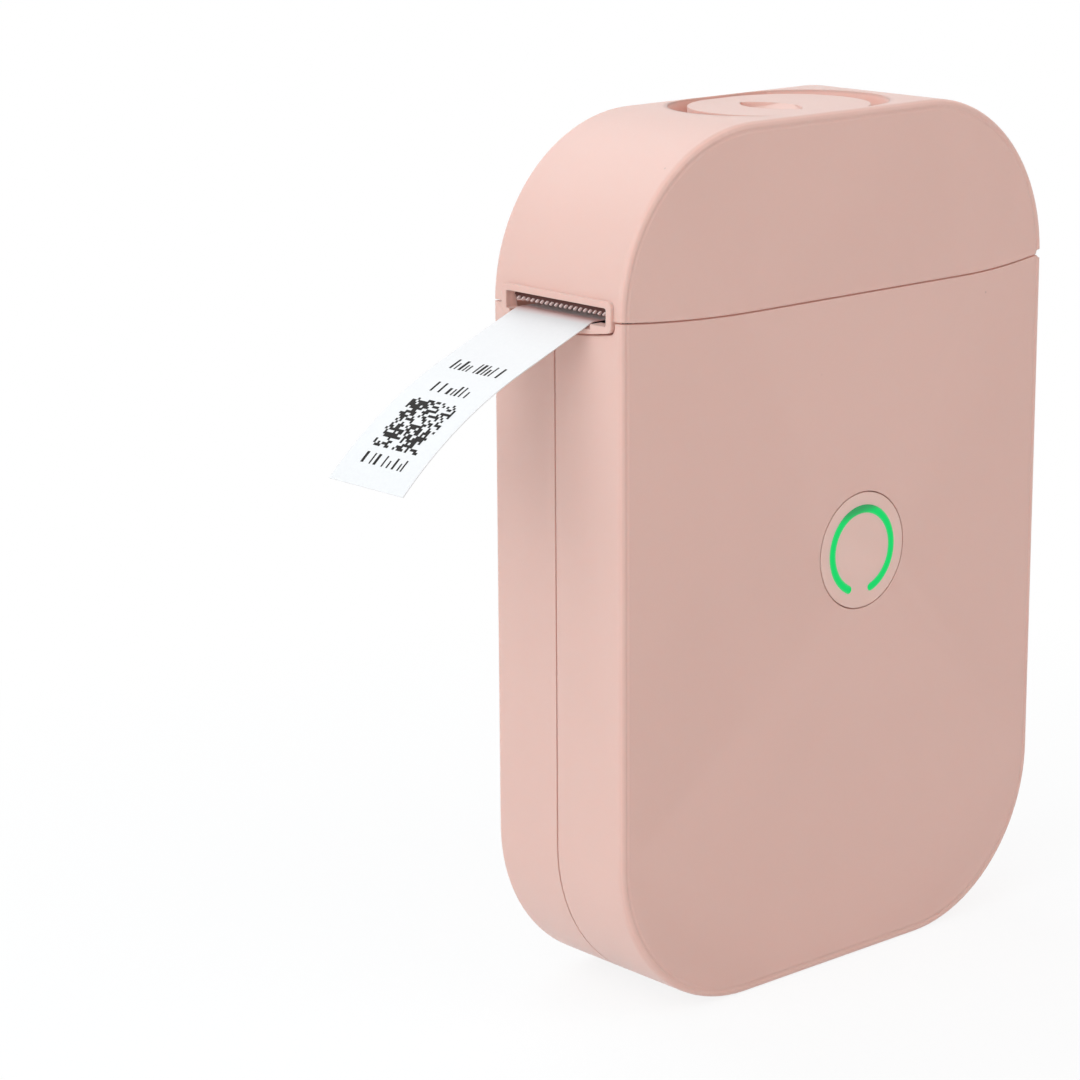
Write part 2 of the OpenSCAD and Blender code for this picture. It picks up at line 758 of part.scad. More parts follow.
// spur gear of n teeth in the XZ plane, one tooth (or gap) at angle a
module gear_outline(n, a) {
    pr = gear_m * n / 2;
    tip = pr + 0.8 * gear_m;
    root = pr - 1.15 * gear_m;
    pitch = 360 / n;
    // half angles of the tooth at root, pitch and tip
    hr = 0.30 * pitch;
    hp = 0.205 * pitch;
    hh = 0.095 * pitch;
    polygon([for (i = [0:n - 1])
        for (q = [[root, -hr], [pr, -hp], [tip, -hh], [tip, hh], [pr, hp], [root, hr]])
            [q[0] * cos(a + i * pitch + q[1]), q[0] * sin(a + i * pitch + q[1])]]);
}

module platen_gear() {
    color(c_white) difference() {
        translate([platen_x, 0, platen_z]) yprism(gear_y0, gear_y1) gear_outline(platen_teeth, -drive_b);
        ycyl(platen_x, platen_z, shaft_r, -over, 0);
    }
}

module platen_bushes() {
    color(c_dark)
        for (y = [plate_f0, plate_r0])
            difference() {
                union() {
                    ycyl(platen_x, platen_z, bush_r, y, y + 1);
                    flange_y = y < 0 ? plate_f0 - 0.4 : plate_r1;
                    ycyl(platen_x, platen_z, bush_r + 0.5, flange_y, flange_y + 0.4);
                }
                ycyl(platen_x, platen_z, shaft_r + fit, y - 2, y + 3);
            }
}

module idler_gear() {
    hub = 2.4;
    color(c_white) difference() {
        union() {
            translate([idler_x, 0, idler_z]) yprism(gear_y0 + 0.4, gear_y1)
                gear_outline(idler_teeth, idler_phase);
            ycyl(idler_x, idler_z, hub, gear_y0, gear_y1);
        }
        ycyl(idler_x, idler_z, stud_r + fit, -over, 0);
        for (a = [0:60:300])
            ycyl(idler_x + 4.6 * cos(a), idler_z + 4.6 * sin(a), 1.1, -over, 0);
    }
}

module idler_stud() {
    color(c_steel) {
        ycyl(idler_x, idler_z, stud_r, gear_y0 - clear, plate_f1);
        ycyl(idler_x, idler_z, 2, gear_y0 - clear - 0.5, gear_y0 - clear);
        ycyl(idler_x, idler_z, 2, gear_y1 + 0.15, plate_f0);
    }
}

module motor_can() {
    color(c_steel) {
        ycyl(motor_x, motor_z, motor_r, plate_f1 + 0.8, plate_f1 + 10.4);
        ycyl(motor_x, motor_z, 3.2, plate_f1 + 10.4, plate_f1 + 11.2);
    }
}

module motor_flange() {
    color(c_steel) difference() {
        yprism(plate_f1, plate_f1 + 0.8) difference() {
            rrect(motor_x - flange_s - 1.6, motor_x + flange_s + 1.6, motor_z - 4, motor_z + 4, 1.6);
            translate([motor_x, motor_z]) circle(2.8);
        }
        for (s = [-1, 1])
            ycyl(motor_x + s * flange_s, motor_z, 0.8, plate_f1 - 1, plate_f1 + 3);
    }
}

module motor_shaft() {
    color(c_steel) ycyl(motor_x, motor_z, 0.75, gear_y0 - 0.2, plate_f1 + 0.7);
}

module motor_pinion() {
    // a tooth of the pinion faces a gap of the idler
    a_line = 180 - drive_a;
    rel = (-drive_a - idler_phase) * idler_teeth / 360;
    frac = rel - floor(rel);
    color([0.72, 0.6, 0.3]) difference() {
        translate([motor_x, 0, motor_z]) yprism(gear_y0, gear_y1)
            gear_outline(pinion_teeth, a_line - (0.5 - frac) * 360 / pinion_teeth);
        ycyl(motor_x, motor_z, 0.75, -over, 0);
    }
}

module screws_motor() {
    color(c_steel)
        for (s = [-1, 1])
            difference() {
                union() {
                    ycyl(motor_x + s * flange_s, motor_z, 0.8, plate_f0 - 0.3, plate_f1 + 1.8);
                    ycyl(motor_x + s * flange_s, motor_z, 1.5, plate_f0 - 0.9, plate_f0);
                }
                bx(motor_x + s * flange_s - 1.1, motor_x + s * flange_s + 1.1, plate_f0 - 2, plate_f0 - 0.45,
                    motor_z - 0.2, motor_z + 0.2);
            }
}

// ---------- labels ----------
module label_roll() {
    color(c_white) difference() {
        ycyl(bay_x, roll_z, roll_r, ty0, ty1);
        ycyl(bay_x, roll_z, core_r, ty0 - 1, ty1 + 1);
    }
}

module roll_core() {
    color([0.9, 0.9, 0.88]) difference() {
        ycyl(bay_x, roll_z, core_r, ty0, ty1);
        ycyl(bay_x, roll_z, core_r - 1.2, ty0 - 1, ty1 + 1);
    }
}

module label_web() {
    color(c_white)
        bx(platen_x + 0.2, bay_x + 2, ty0, ty1, tape_z - tape_t / 2, tape_z + tape_t / 2);
}

// piece of a thin ring between angles a0 and a1, centred on its line
module arc_band(r, t, a0, a1) {
    intersection() {
        difference() {
            circle(r + t / 2);
            circle(r - t / 2);
        }
        mid = (a0 + a1) / 2;
        polygon([[0, 0], [2 * r * cos(a0), 2 * r * sin(a0)], [2 * r * cos(mid), 2 * r * sin(mid)],
            [2 * r * cos(a1), 2 * r * sin(a1)]]);
    }
}

module label_strip() {
    bend_r = 3;
    bend_a = 22.5;
    curl_a = 22.5;
    x1 = -hw + 1.1;
    z1 = tape_z;
    // end of the first bend and of the straight run
    x2 = x1 - bend_r * sin(bend_a);
    z2 = z1 - bend_r * (1 - cos(bend_a));
    x3 = x2 - strip_len * cos(bend_a);
    z3 = z2 - strip_len * sin(bend_a);
    color(c_white) yprism(ty0, ty1) {
        translate([x1, z1 - tape_t / 2]) square([platen_x - 0.2 - x1, tape_t]);
        translate([x1, z1 - bend_r]) arc_band(bend_r, tape_t, 90, 90 + bend_a);
        translate([x2, z2]) rotate(180 + bend_a) translate([0, -tape_t / 2]) square([strip_len, tape_t]);
        translate([x3 + curl_r * sin(bend_a), z3 - curl_r * cos(bend_a)])
            arc_band(curl_r, tape_t, 90 + bend_a, 90 + bend_a + curl_a);
    }
}

// ---------- electronics ----------
module tape_sensor() {
    sx = platen_x + 10;
    color([0.1, 0.3, 0.2]) bx(sx - 3, sx + 3, tape_y - 4, tape_y + 4, deck_z, deck_z + 0.8);
    color(c_dark) bx(sx - 1.6, sx + 1.6, tape_y - 1.2, tape_y + 1.2, deck_z + 0.8, deck_z + 1.9);
}

module tag_reader() {
    color([0.1, 0.3, 0.2]) difference() {
        bx(bay_x - 9, bay_x + 9, plate_r1, plate_r1 + 0.8, bay_z - 12, bay_z + 2);
        ycyl(bay_x, bay_z - 5, 3, plate_r1 - 1, plate_r1 + 2);
    }
}

module main_board() {
    color([0.1, 0.35, 0.22]) difference() {
        yprism(board_y0, board_y1) rrect(board_x0, board_x1, board_z0, board_z1, 1.5);
        for (p = board_screw_at)
            ycyl(p[0], p[1], 1.1, board_y0 - 1, board_y1 + 1);
    }
}

// block on the back of the board: its corner from the board's lower left, its width, height and depth
module on_board(u, v, w, h, d) {
    bx(board_x0 + u, board_x0 + u + w, board_y1, board_y1 + d, board_z0 + v, board_z0 + v + h);
}

module board_parts() {
    color(c_dark) {
        on_board(28, 10, 9, 9, 1); // processor
        on_board(42, 12, 5, 5, 0.9); // memory
        on_board(16, 16, 6, 6, 1.2); // motor driver
        on_board(7, 7, 6, 6, 2.4); // coil
        on_board(51, 4, 5, 5, 2); // second coil
        on_board(56, 18, 5, 6, 1.2); // charger
        for (i = [0:4])
            on_board(16 + i * 3, 6.6, 1.6, 1, 0.6); // capacitors
        ycyl(board_x0 + 10, board_z0 + 21, 2.2, board_y1, board_y1 + 3); // can capacitor
    }
}

module switch_body() {
    color(c_steel) difference() {
        bx(power_x - 2.6, power_x + 2.6, board_y0 - switch_t, board_y0, power_z - 2.6, power_z + 2.6);
        ycyl(power_x, power_z, 1.3 + clear, board_y0 - switch_t - 1, board_y0 - 0.2);
    }
}

module switch_plunger() {
    color(c_dark) ycyl(power_x, power_z, 1.3, plunger_y, board_y0 - 0.7);
}

module ring_leds() {
    color(c_white)
        for (a = [0:90:270])
            translate([power_x + ring_r * cos(a + 45), 0, power_z + ring_r * sin(a + 45)])
                bx(-0.8, 0.8, board_y0 - 0.6, board_y0, -0.5, 0.5);
}

module ring_arc(w, y0, y1) {
    // the ring is open at the bottom, between these angles
    a0 = 244;
    a1 = 288;
    mid = (a0 + a1) / 2;
    far = 2 * ring_r;
    end_r = w / 2 - 0.02;
    yprism(y0, y1) translate([power_x, power_z]) {
        difference() {
            circle(ring_r + w / 2);
            circle(ring_r - w / 2);
            polygon([[0, 0], [far * cos(a0), far * sin(a0)], [far * cos(mid), far * sin(mid)],
                [far * cos(a1), far * sin(a1)]]);
        }
        for (a = [a0, a1])
            translate([ring_r * cos(a), ring_r * sin(a)]) circle(end_r);
    }
}

module power_button() {
    color(c_shell) difference() {
        union() {
            ycyl(power_x, power_z, power_r, -ht, -it + clear + 0.8);
            ycyl(power_x, power_z, power_flange, -it + clear, -it + clear + 0.8);
            ycyl(power_x, power_z, 1.8, -it + clear, boss_y);
        }
        ring_arc(ring_w, -ht - 1, -it + clear + 2);
    }
    // webs that hold the middle of the button inside the ring
    color(c_shell)
        for (a = [30, 150, 210, 330])
            translate([power_x, 0, power_z]) rotate([0, -a, 0])
                bx(ring_r - ring_w / 2 - 0.6, ring_r + ring_w / 2 + 0.6,
                    -it + clear + 0.3, -it + clear + 0.8, -0.7, 0.7);
}

module light_ring() {
    color([0.2, 0.85, 0.45]) ring_arc(ring_w, -ht, -it + clear + 0.3);
}

module usb_socket() {
    x1 = hw - 0.4;
    color(c_steel) difference() {
        xprism(x1 - usb_len, x1)
            rrect(usb_y - usb_t / 2, usb_y + usb_t / 2, usb_z - usb_w / 2, usb_z + usb_w / 2, usb_t / 2 - 0.3);
        xprism(x1 - usb_len + 0.6, x1 + 1)
            rrect(usb_y - usb_t / 2 + 0.35, usb_y + usb_t / 2 - 0.35,
                usb_z - usb_w / 2 + 0.35, usb_z + usb_w / 2 - 0.35, usb_t / 2 - 0.5);
    }
    color(c_dark) bx(x1 - usb_len + 0.3, x1 - 1, usb_y - 0.35, usb_y + 0.35, usb_z - 3.3, usb_z + 3.3);
}

module battery() {
    color([0.7, 0.72, 0.75])
        yprism(it - pad_t - bat_t, it - pad_t) rrect(-bat_x, bat_x, bat_z0, bat_z1, 2);
}

module battery_pad() {
    color(c_dark)
        yprism(it - pad_t, it) rrect(-bat_x + 4, bat_x - 4, bat_z0 + 4, bat_z1 - 4, 2);
}

module battery_plug() {
    color(c_white) difference() {
        on_board(23, 1, 6, 4.5, 3.4);
        bx(board_x0 + 23.7, board_x0 + 28.3, board_y1 + 0.8, board_y1 + 2.6, board_z0, board_z0 + 3.5);
    }
}

// pan-head screw along Y, its head on the side given by s
module yscrew(x, z, r, hr, seat, tip, s) {
    // ends of the cross recess
    c0 = min(seat + s * 0.7, seat + s * 2);
    c1 = max(seat + s * 0.7, seat + s * 2);
    ycyl(x, z, r, min(seat, tip), max(seat, tip));
    difference() {
        ycyl(x, z, hr, min(seat, seat + s * 1.2), max(seat, seat + s * 1.2));
        bx(x - hr * 0.7, x + hr * 0.7, c0, c1, z - 0.2, z + 0.2);
        bx(x - 0.2, x + 0.2, c0, c1, z - hr * 0.7, z + hr * 0.7);
    }
}

module screws_body() {
    color(c_steel)
        for (p = screw_at)
            yscrew(p[0], p[1], screw_r, 2.1, ht - 2, -7, 1);
}

module screws_chassis() {
    color(c_steel)
        for (p = ear_at)
            yscrew(p[0], p[1], 0.8, 1.8, plate_r0, ht - 1.4, -1);
}

module screws_board() {
    color(c_steel)
        for (p = board_screw_at)
            yscrew(p[0], p[1], 0.8, 1.8, board_y1, -it + 0.6, 1);
}

front_shell();
rear_shell();
lid();
release_button();
release_spring();
lid_bridge();
screws_lid();
latch_lever();
latch_pin();
latch_spring();
head_sink();
head_ceramic();
head_driver();
head_pin();
head_springs();
tear_bar();
hinge_pin();
chassis();
platen_rubber();
platen_shaft();
platen_gear();
platen_bushes();
idler_gear();
idler_stud();
motor_can();
motor_flange();
motor_shaft();
motor_pinion();
screws_motor();
label_roll();
roll_core();
label_web();
label_strip();
tape_sensor();
tag_reader();
main_board();
board_parts();
switch_body();
switch_plunger();
ring_leds();
power_button();
light_ring();
usb_socket();
battery();
battery_pad();
battery_plug();
screws_body();
screws_chassis();
screws_board();
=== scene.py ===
import math
import random

import bmesh
import bpy
from mathutils import Matrix, Vector


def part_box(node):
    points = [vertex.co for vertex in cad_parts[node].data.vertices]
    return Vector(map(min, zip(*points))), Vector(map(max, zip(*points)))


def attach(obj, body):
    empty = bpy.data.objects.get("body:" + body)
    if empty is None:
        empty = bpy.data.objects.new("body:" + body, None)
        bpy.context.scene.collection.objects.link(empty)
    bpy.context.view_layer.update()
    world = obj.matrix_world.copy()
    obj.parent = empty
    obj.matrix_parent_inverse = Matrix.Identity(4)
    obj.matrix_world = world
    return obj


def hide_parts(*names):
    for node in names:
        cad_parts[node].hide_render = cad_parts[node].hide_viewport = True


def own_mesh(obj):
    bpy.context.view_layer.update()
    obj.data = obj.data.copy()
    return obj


bl_info = {
    "name": "Label Printer",
    "version": (1, 0, 0),
    "blender": (4, 5, 0),
    "location": "3D View > Sidebar > Label Printer",
    "description": "Dresses a small label printer: its case, tape, print drive and studio",
    "category": "Object",
}

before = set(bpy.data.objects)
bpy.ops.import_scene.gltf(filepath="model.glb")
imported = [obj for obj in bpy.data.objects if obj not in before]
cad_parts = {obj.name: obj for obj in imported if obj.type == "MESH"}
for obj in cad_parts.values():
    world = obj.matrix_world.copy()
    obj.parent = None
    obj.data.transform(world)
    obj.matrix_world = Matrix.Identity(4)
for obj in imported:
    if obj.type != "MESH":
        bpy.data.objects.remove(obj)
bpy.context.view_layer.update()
MM = 0.001

# the plain body of the case, without the outlet frame that stands proud of it
REAR_LOW, REAR_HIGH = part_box("rear_shell")
CASE_LOW = Vector((REAR_LOW.x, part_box("front_shell")[0].y, REAR_LOW.z))
CASE_HIGH = Vector((REAR_HIGH.x, REAR_HIGH.y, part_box("lid")[1].z))
CASE_ROUND = 25.6 * MM  # radius of the body's corners, seen from the front
CASE_WALL = 1.4 * MM
RECESS_DEEP = 2.2 * MM  # the rim of the recess round the release button ends this far below the top
RECESS_HALF = 11.8 * MM  # and lies this near the middle plane of the case

TEAR_TEETH = 20
TOOTH_DEEP = 0.59 * MM
BLADE_MARGIN = 0.2 * MM  # plain end of the blade beside its teeth
RING_WIDE = 1.25 * MM

# printed rows: distance along the tape from its bend, height and width
UPPER_ROWS = ((14.8 * MM, 2.3 * MM, 10.2 * MM), (20.2 * MM, 2.1 * MM, 7.6 * MM))
LOWER_ROW = (34.8 * MM, 1.9 * MM, 8.8 * MM)
FIELD_START = 24.0 * MM
FIELD_CELLS = 22
FILM_THICK = 0.012 * MM
FILM_LIFT = 0.004 * MM

WIRE_SIDES = 8
COIL_STEPS = 20  # pieces of one turn of a coil


# ---------- shared helpers ----------
def linear(hex_colour):
    """sRGB hex to linear RGBA."""
    channels = [int(hex_colour[i:i + 2], 16) / 255 for i in (0, 2, 4)]
    return tuple(c / 12.92 if c <= 0.04045 else ((c + 0.055) / 1.055) ** 2.4 for c in channels) + (1.0,)


def toned(colour, gain, lift=0.0):
    """A linear colour made paler or deeper."""
    return tuple(min(1.0, c * gain + lift) for c in colour[:3]) + (1.0,)


def wave_scale(spacing):
    """The Scale at which a wave texture draws one line in each spacing."""
    return math.tau / (20 * spacing)


def add(tree, kind, inputs=None, **settings):
    """Adds a node, sets its properties, and fills or links its inputs."""
    node = tree.nodes.new(kind)
    for name, value in settings.items():
        setattr(node, name, value)
    for key, value in (inputs or {}).items():
        if isinstance(value, bpy.types.NodeSocket):
            tree.links.new(value, node.inputs[key])
        else:
            node.inputs[key].default_value = value
    return node


def open_material(name):
    """Starts a material: itself, its node tree, and the place of a point in metres."""
    material = bpy.data.materials.new(name)
    material.use_nodes = True
    tree = material.node_tree
    tree.nodes.clear()
    return material, tree, add(tree, "ShaderNodeTexCoord").outputs["Object"]


def close_material(tree, shader_inputs, normal=None):
    """Ends a material in one Principled shader."""
    if normal is not None:
        shader_inputs = {**shader_inputs, "Normal": normal}
    shader = add(tree, "ShaderNodeBsdfPrincipled", shader_inputs)
    add(tree, "ShaderNodeOutputMaterial", {"Surface": shader.outputs["BSDF"]})


def dress(material, *nodes):
    """Gives CAD nodes a material and leaves their meshes alone."""
    for name in nodes:
        for material_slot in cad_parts[name].material_slots:
            material_slot.material = material


def settle(name, bm, body, material, smooth=True):
    """Turns a bmesh into a finished piece that rides on a body."""
    bmesh.ops.remove_doubles(bm, verts=bm.verts, dist=1e-7)
    bmesh.ops.recalc_face_normals(bm, faces=bm.faces)
    for face in bm.faces:
        face.smooth = smooth
    mesh = bpy.data.meshes.new(name)
    bm.to_mesh(mesh)
    bm.free()
    piece = bpy.data.objects.new(name, mesh)
    bpy.context.scene.collection.objects.link(piece)
    mesh.materials.append(material)
    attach(piece, body)
    return piece


# ---------- materials ----------
def painted_gap_light(tree, place):
    """Mask for the painted gap glow: how far a surface lies in the gaps and openings of the case walls, 0 on the
    outside, 1 inside the wall.
    """
    half = (CASE_HIGH - CASE_LOW) / 2
    centre = (CASE_LOW + CASE_HIGH) / 2
    straight = (half.x - CASE_ROUND, 1.0, half.z - CASE_ROUND)
    off = add(tree, "ShaderNodeVectorMath", {0: place, 1: centre}, operation="SUBTRACT")
    folded = add(tree, "ShaderNodeVectorMath", {0: off.outputs["Vector"]}, operation="ABSOLUTE")
    past = add(tree, "ShaderNodeVectorMath", {0: folded.outputs["Vector"], 1: straight}, operation="SUBTRACT")
    corner = add(tree, "ShaderNodeVectorMath", {0: past.outputs["Vector"], 1: (0.0, 0.0, 0.0)}, operation="MAXIMUM")
    radial = add(tree, "ShaderNodeVectorMath", {0: corner.outputs["Vector"]}, operation="LENGTH")
    parts = add(tree, "ShaderNodeSeparateXYZ", {"Vector": past.outputs["Vector"]})
    flat = add(tree, "ShaderNodeMath", {0: parts.outputs["X"], 1: parts.outputs["Z"]}, operation="MAXIMUM")
    inner = add(tree, "ShaderNodeMath", {0: flat.outputs["Value"], 1: 0.0}, operation="MINIMUM")
    reach = add(tree, "ShaderNodeMath", {0: radial.outputs["Value"], 1: inner.outputs["Value"]}, operation="ADD")
    sides = add(tree, "ShaderNodeSeparateXYZ", {"Vector": folded.outputs["Vector"]})
    thick = add(tree, "ShaderNodeMath", {0: sides.outputs["Y"], 1: CASE_ROUND - half.y}, operation="ADD")
    nearest = add(tree, "ShaderNodeMath", {0: reach.outputs["Value"], 1: thick.outputs["Value"]}, operation="MAXIMUM")
    depth = add(tree, "ShaderNodeMath", {0: CASE_ROUND, 1: nearest.outputs["Value"]}, operation="SUBTRACT")
    # the painted glow starts past the rounded edges and ends behind the wall
    entered = add(tree, "ShaderNodeMapRange", {"Value": depth.outputs["Value"], "From Min": 0.15 * MM,
                                               "From Max": 0.4 * MM})
    left = add(tree, "ShaderNodeMapRange", {"Value": depth.outputs["Value"], "From Min": CASE_WALL,
                                            "From Max": CASE_WALL + 0.3 * MM, "To Min": 1.0, "To Max": 0.0})
    inside = add(tree, "ShaderNodeMath", {0: entered.outputs["Result"], 1: left.outputs["Result"]},
                 operation="MULTIPLY")
    return inside.outputs["Value"]


def moulded_abs(name, colour, grain, depth=0.05 * MM, roughness=0.5, specks=0.0, painted_gap_glow=0.0, dished_from=None):
    """ABS moulded in a spark-eroded tool: fine even grain, a pale bloom at grazing angles, soft light from within; on
    request, a painted warm glow in the gaps.
    """
    material, tree, place = open_material(name)
    # slow drift of tone over a hand's width, as in any large moulding
    drift = add(tree, "ShaderNodeTexNoise", {"Vector": place, "Scale": 1 / (26 * MM), "Detail": 2.0})
    tone = add(tree, "ShaderNodeMix", {"Factor": drift.outputs["Fac"], "A": toned(colour, 0.975),
                                       "B": toned(colour, 1.025)}, data_type="RGBA")
    surface_colour = tone.outputs["Result"]
    if specks:
        # dust caught in the grain, a few tenths of a millimetre across and about 9 mm apart
        dust = add(tree, "ShaderNodeTexVoronoi", {"Vector": place, "Scale": 1 / (9 * MM), "Randomness": 1.0})
        dot = add(tree, "ShaderNodeMapRange", {"Value": dust.outputs["Distance"], "From Min": 0.016,
                                               "From Max": 0.03, "To Min": specks, "To Max": 0.0})
        dusty = add(tree, "ShaderNodeMix", {"Factor": dot.outputs["Result"], "A": surface_colour,
                                            "B": toned(colour, 0.45)}, data_type="RGBA")
        surface_colour = dusty.outputs["Result"]
    grit = add(tree, "ShaderNodeTexNoise", {"Vector": place, "Scale": 1 / grain, "Detail": 3.0, "Roughness": 0.6})
    polish = add(tree, "ShaderNodeMapRange", {"Value": grit.outputs["Fac"], "From Min": 0.3, "From Max": 0.7,
                                              "To Min": roughness - 0.05, "To Max": roughness + 0.07})
    # the tool's edges are broken by about a quarter of a millimetre
    edge_r = 0.25 * MM
    if dished_from is not None:
        # the rim of the recess above this height is broken far more softly
        at = add(tree, "ShaderNodeSeparateXYZ", {"Vector": place})
        above = add(tree, "ShaderNodeMath", {0: at.outputs["Z"], 1: dished_from}, operation="GREATER_THAN")
        middle = add(tree, "ShaderNodeMath", {0: at.outputs["Y"], 1: 0.0, 2: RECESS_HALF}, operation="COMPARE")
        rim = add(tree, "ShaderNodeMath", {0: above.outputs["Value"], 1: middle.outputs["Value"]},
                  operation="MULTIPLY")
        edge_r = add(tree, "ShaderNodeMapRange", {"Value": rim.outputs["Value"], "To Min": edge_r,
                                                  "To Max": 1.6 * MM}).outputs["Result"]
    edge = add(tree, "ShaderNodeBevel", {"Radius": edge_r}, samples=4)
    bump = add(tree, "ShaderNodeBump", {"Height": grit.outputs["Fac"], "Strength": 0.35, "Distance": depth,
                                        "Normal": edge.outputs["Normal"]})
    lit = {}
    if painted_gap_glow:
        # painted light: the gaps and openings glow a warm pink that stands in for light soaked through and bounced
        # inside the walls, so they read as warm lines, not black ones
        strength = add(tree, "ShaderNodeMath", {0: painted_gap_light(tree, place), 1: painted_gap_glow}, operation="MULTIPLY")
        lit = {"Emission Color": linear("F2B6A6"), "Emission Strength": strength.outputs["Value"]}
    close_material(tree, {**lit, "Base Color": surface_colour, "Roughness": polish.outputs["Result"], "IOR": 1.53,
                          "Subsurface Weight": 0.4, "Subsurface Radius": (0.8 * MM, 0.45 * MM, 0.38 * MM),
                          "Subsurface Scale": 1.0, "Sheen Weight": 0.2, "Sheen Roughness": 0.45},
                   bump.outputs["Normal"])
    return material


def black_nylon(name):
    """Glass-filled nylon: near black, dull, with a faint cloudy gloss where it filled last."""
    material, tree, place = open_material(name)
    cloud = add(tree, "ShaderNodeTexNoise", {"Vector": place, "Scale": 1 / (3 * MM), "Detail": 4.0})
    tone = add(tree, "ShaderNodeMix", {"Factor": cloud.outputs["Fac"], "A": linear("1E1E20"), "B": linear("2B2B2D")},
               data_type="RGBA")
    gloss = add(tree, "ShaderNodeMapRange", {"Value": cloud.outputs["Fac"], "To Min": 0.42, "To Max": 0.6})
    bump = add(tree, "ShaderNodeBump", {"Height": cloud.outputs["Fac"], "Strength": 0.2, "Distance": 0.05 * MM})
    close_material(tree, {"Base Color": tone.outputs["Result"], "Roughness": gloss.outputs["Result"], "IOR": 1.53},
                   bump.outputs["Normal"])
    return material


def bright_steel(name, colour="B9BABC", roughness=0.28):
    """Steel drawn or sheared to shape: a bright surface with a fine uneven gloss, here 0.15 mm from spot to spot."""
    material, tree, place = open_material(name)
    drag = add(tree, "ShaderNodeTexNoise", {"Vector": place, "Scale": 1 / (0.15 * MM), "Detail": 3.0})
    gloss = add(tree, "ShaderNodeMapRange", {"Value": drag.outputs["Fac"], "To Min": roughness - 0.08,
                                             "To Max": roughness + 0.12})
    bump = add(tree, "ShaderNodeBump", {"Height": drag.outputs["Fac"], "Strength": 0.15, "Distance": 0.02 * MM})
    close_material(tree, {"Base Color": linear(colour), "Metallic": 1.0, "Roughness": gloss.outputs["Result"]},
                   bump.outputs["Normal"])
    return material


def blackened_blade(name):
    """Blackened spring steel: warm brown oxide, with one flank of every tooth ground back to bare metal and coloured
    a pinkish near white, a painted glint and a painted reflection of the case.
    """
    material, tree, place = open_material(name)
    low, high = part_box("tear_bar")
    first = low.y + BLADE_MARGIN
    pitch = (high.y - low.y - 2 * BLADE_MARGIN) / TEAR_TEETH
    ground = 0.34  # width of the ground flank, in teeth
    soft = 0.04
    at = add(tree, "ShaderNodeSeparateXYZ", {"Vector": place})
    across = add(tree, "ShaderNodeMapRange", {"Value": at.outputs["Y"], "From Min": first, "From Max": first + pitch},
                 clamp=False)
    phase = add(tree, "ShaderNodeMath", {0: across.outputs["Result"]}, operation="FRACT")
    rise = add(tree, "ShaderNodeMapRange", {"Value": at.outputs["Z"], "From Min": low.z,
                                            "From Max": low.z + TOOTH_DEEP}, clamp=False)
    # distance behind the ground flank, in teeth
    behind = add(tree, "ShaderNodeMath", {0: rise.outputs["Result"], 1: 0.5, 2: phase.outputs["Value"]},
                 operation="MULTIPLY_ADD")
    offset = add(tree, "ShaderNodeMath", {0: behind.outputs["Value"], 1: 0.5 + ground / 2}, operation="SUBTRACT")
    spread = add(tree, "ShaderNodeMath", {0: offset.outputs["Value"]}, operation="ABSOLUTE")
    stroke = add(tree, "ShaderNodeMapRange", {"Value": spread.outputs["Value"], "From Min": ground / 2 - soft,
                                              "From Max": ground / 2 + soft})
    root = add(tree, "ShaderNodeMapRange", {"Value": rise.outputs["Result"], "From Min": 1.0, "From Max": 1.15})
    oxide = add(tree, "ShaderNodeMath", {0: stroke.outputs["Result"], 1: root.outputs["Result"]},
                operation="MAXIMUM")
    # painted highlight: the pinkish near white of the ground flanks stands in for each tooth's glint and the pink
    # case it reflects
    tone = add(tree, "ShaderNodeMix", {"Factor": oxide.outputs["Value"], "A": linear("F6E6E2"),
                                       "B": linear("56302B")}, data_type="RGBA")
    dull = add(tree, "ShaderNodeMapRange", {"Value": oxide.outputs["Value"], "To Min": 0.4, "To Max": 0.6})
    bare = add(tree, "ShaderNodeMapRange", {"Value": oxide.outputs["Value"], "To Min": 0.5, "To Max": 0.0})
    close_material(tree, {"Base Color": tone.outputs["Result"], "Metallic": bare.outputs["Result"],
                          "Roughness": dull.outputs["Result"]})
    return material


def milled_aluminium(name):
    """Extruded and milled aluminium: pale, with cutter lines half a millimetre apart."""
    material, tree, place = open_material(name)
    cutter = add(tree, "ShaderNodeTexWave", {"Vector": place, "Scale": wave_scale(0.5 * MM), "Distortion": 0.6,
                                             "Detail": 2.0}, bands_direction="Y")
    gloss = add(tree, "ShaderNodeMapRange", {"Value": cutter.outputs["Fac"], "To Min": 0.3, "To Max": 0.42})
    bump = add(tree, "ShaderNodeBump", {"Height": cutter.outputs["Fac"], "Strength": 0.2, "Distance": 0.02 * MM})
    close_material(tree, {"Base Color": linear("C9CACD"), "Metallic": 1.0, "Roughness": gloss.outputs["Result"]},
                   bump.outputs["Normal"])
    return material


def turned_brass(name):
    """Free-cutting brass turned on a lathe: warm yellow with a fine uneven gloss, here 0.2 mm from spot to spot."""
    material, tree, place = open_material(name)
    cuts = add(tree, "ShaderNodeTexNoise", {"Vector": place, "Scale": 1 / (0.2 * MM), "Detail": 2.0})
    gloss = add(tree, "ShaderNodeMapRange", {"Value": cuts.outputs["Fac"], "To Min": 0.2, "To Max": 0.34})
    close_material(tree, {"Base Color": linear("D8B25C"), "Metallic": 1.0, "Roughness": gloss.outputs["Result"]})
    return material


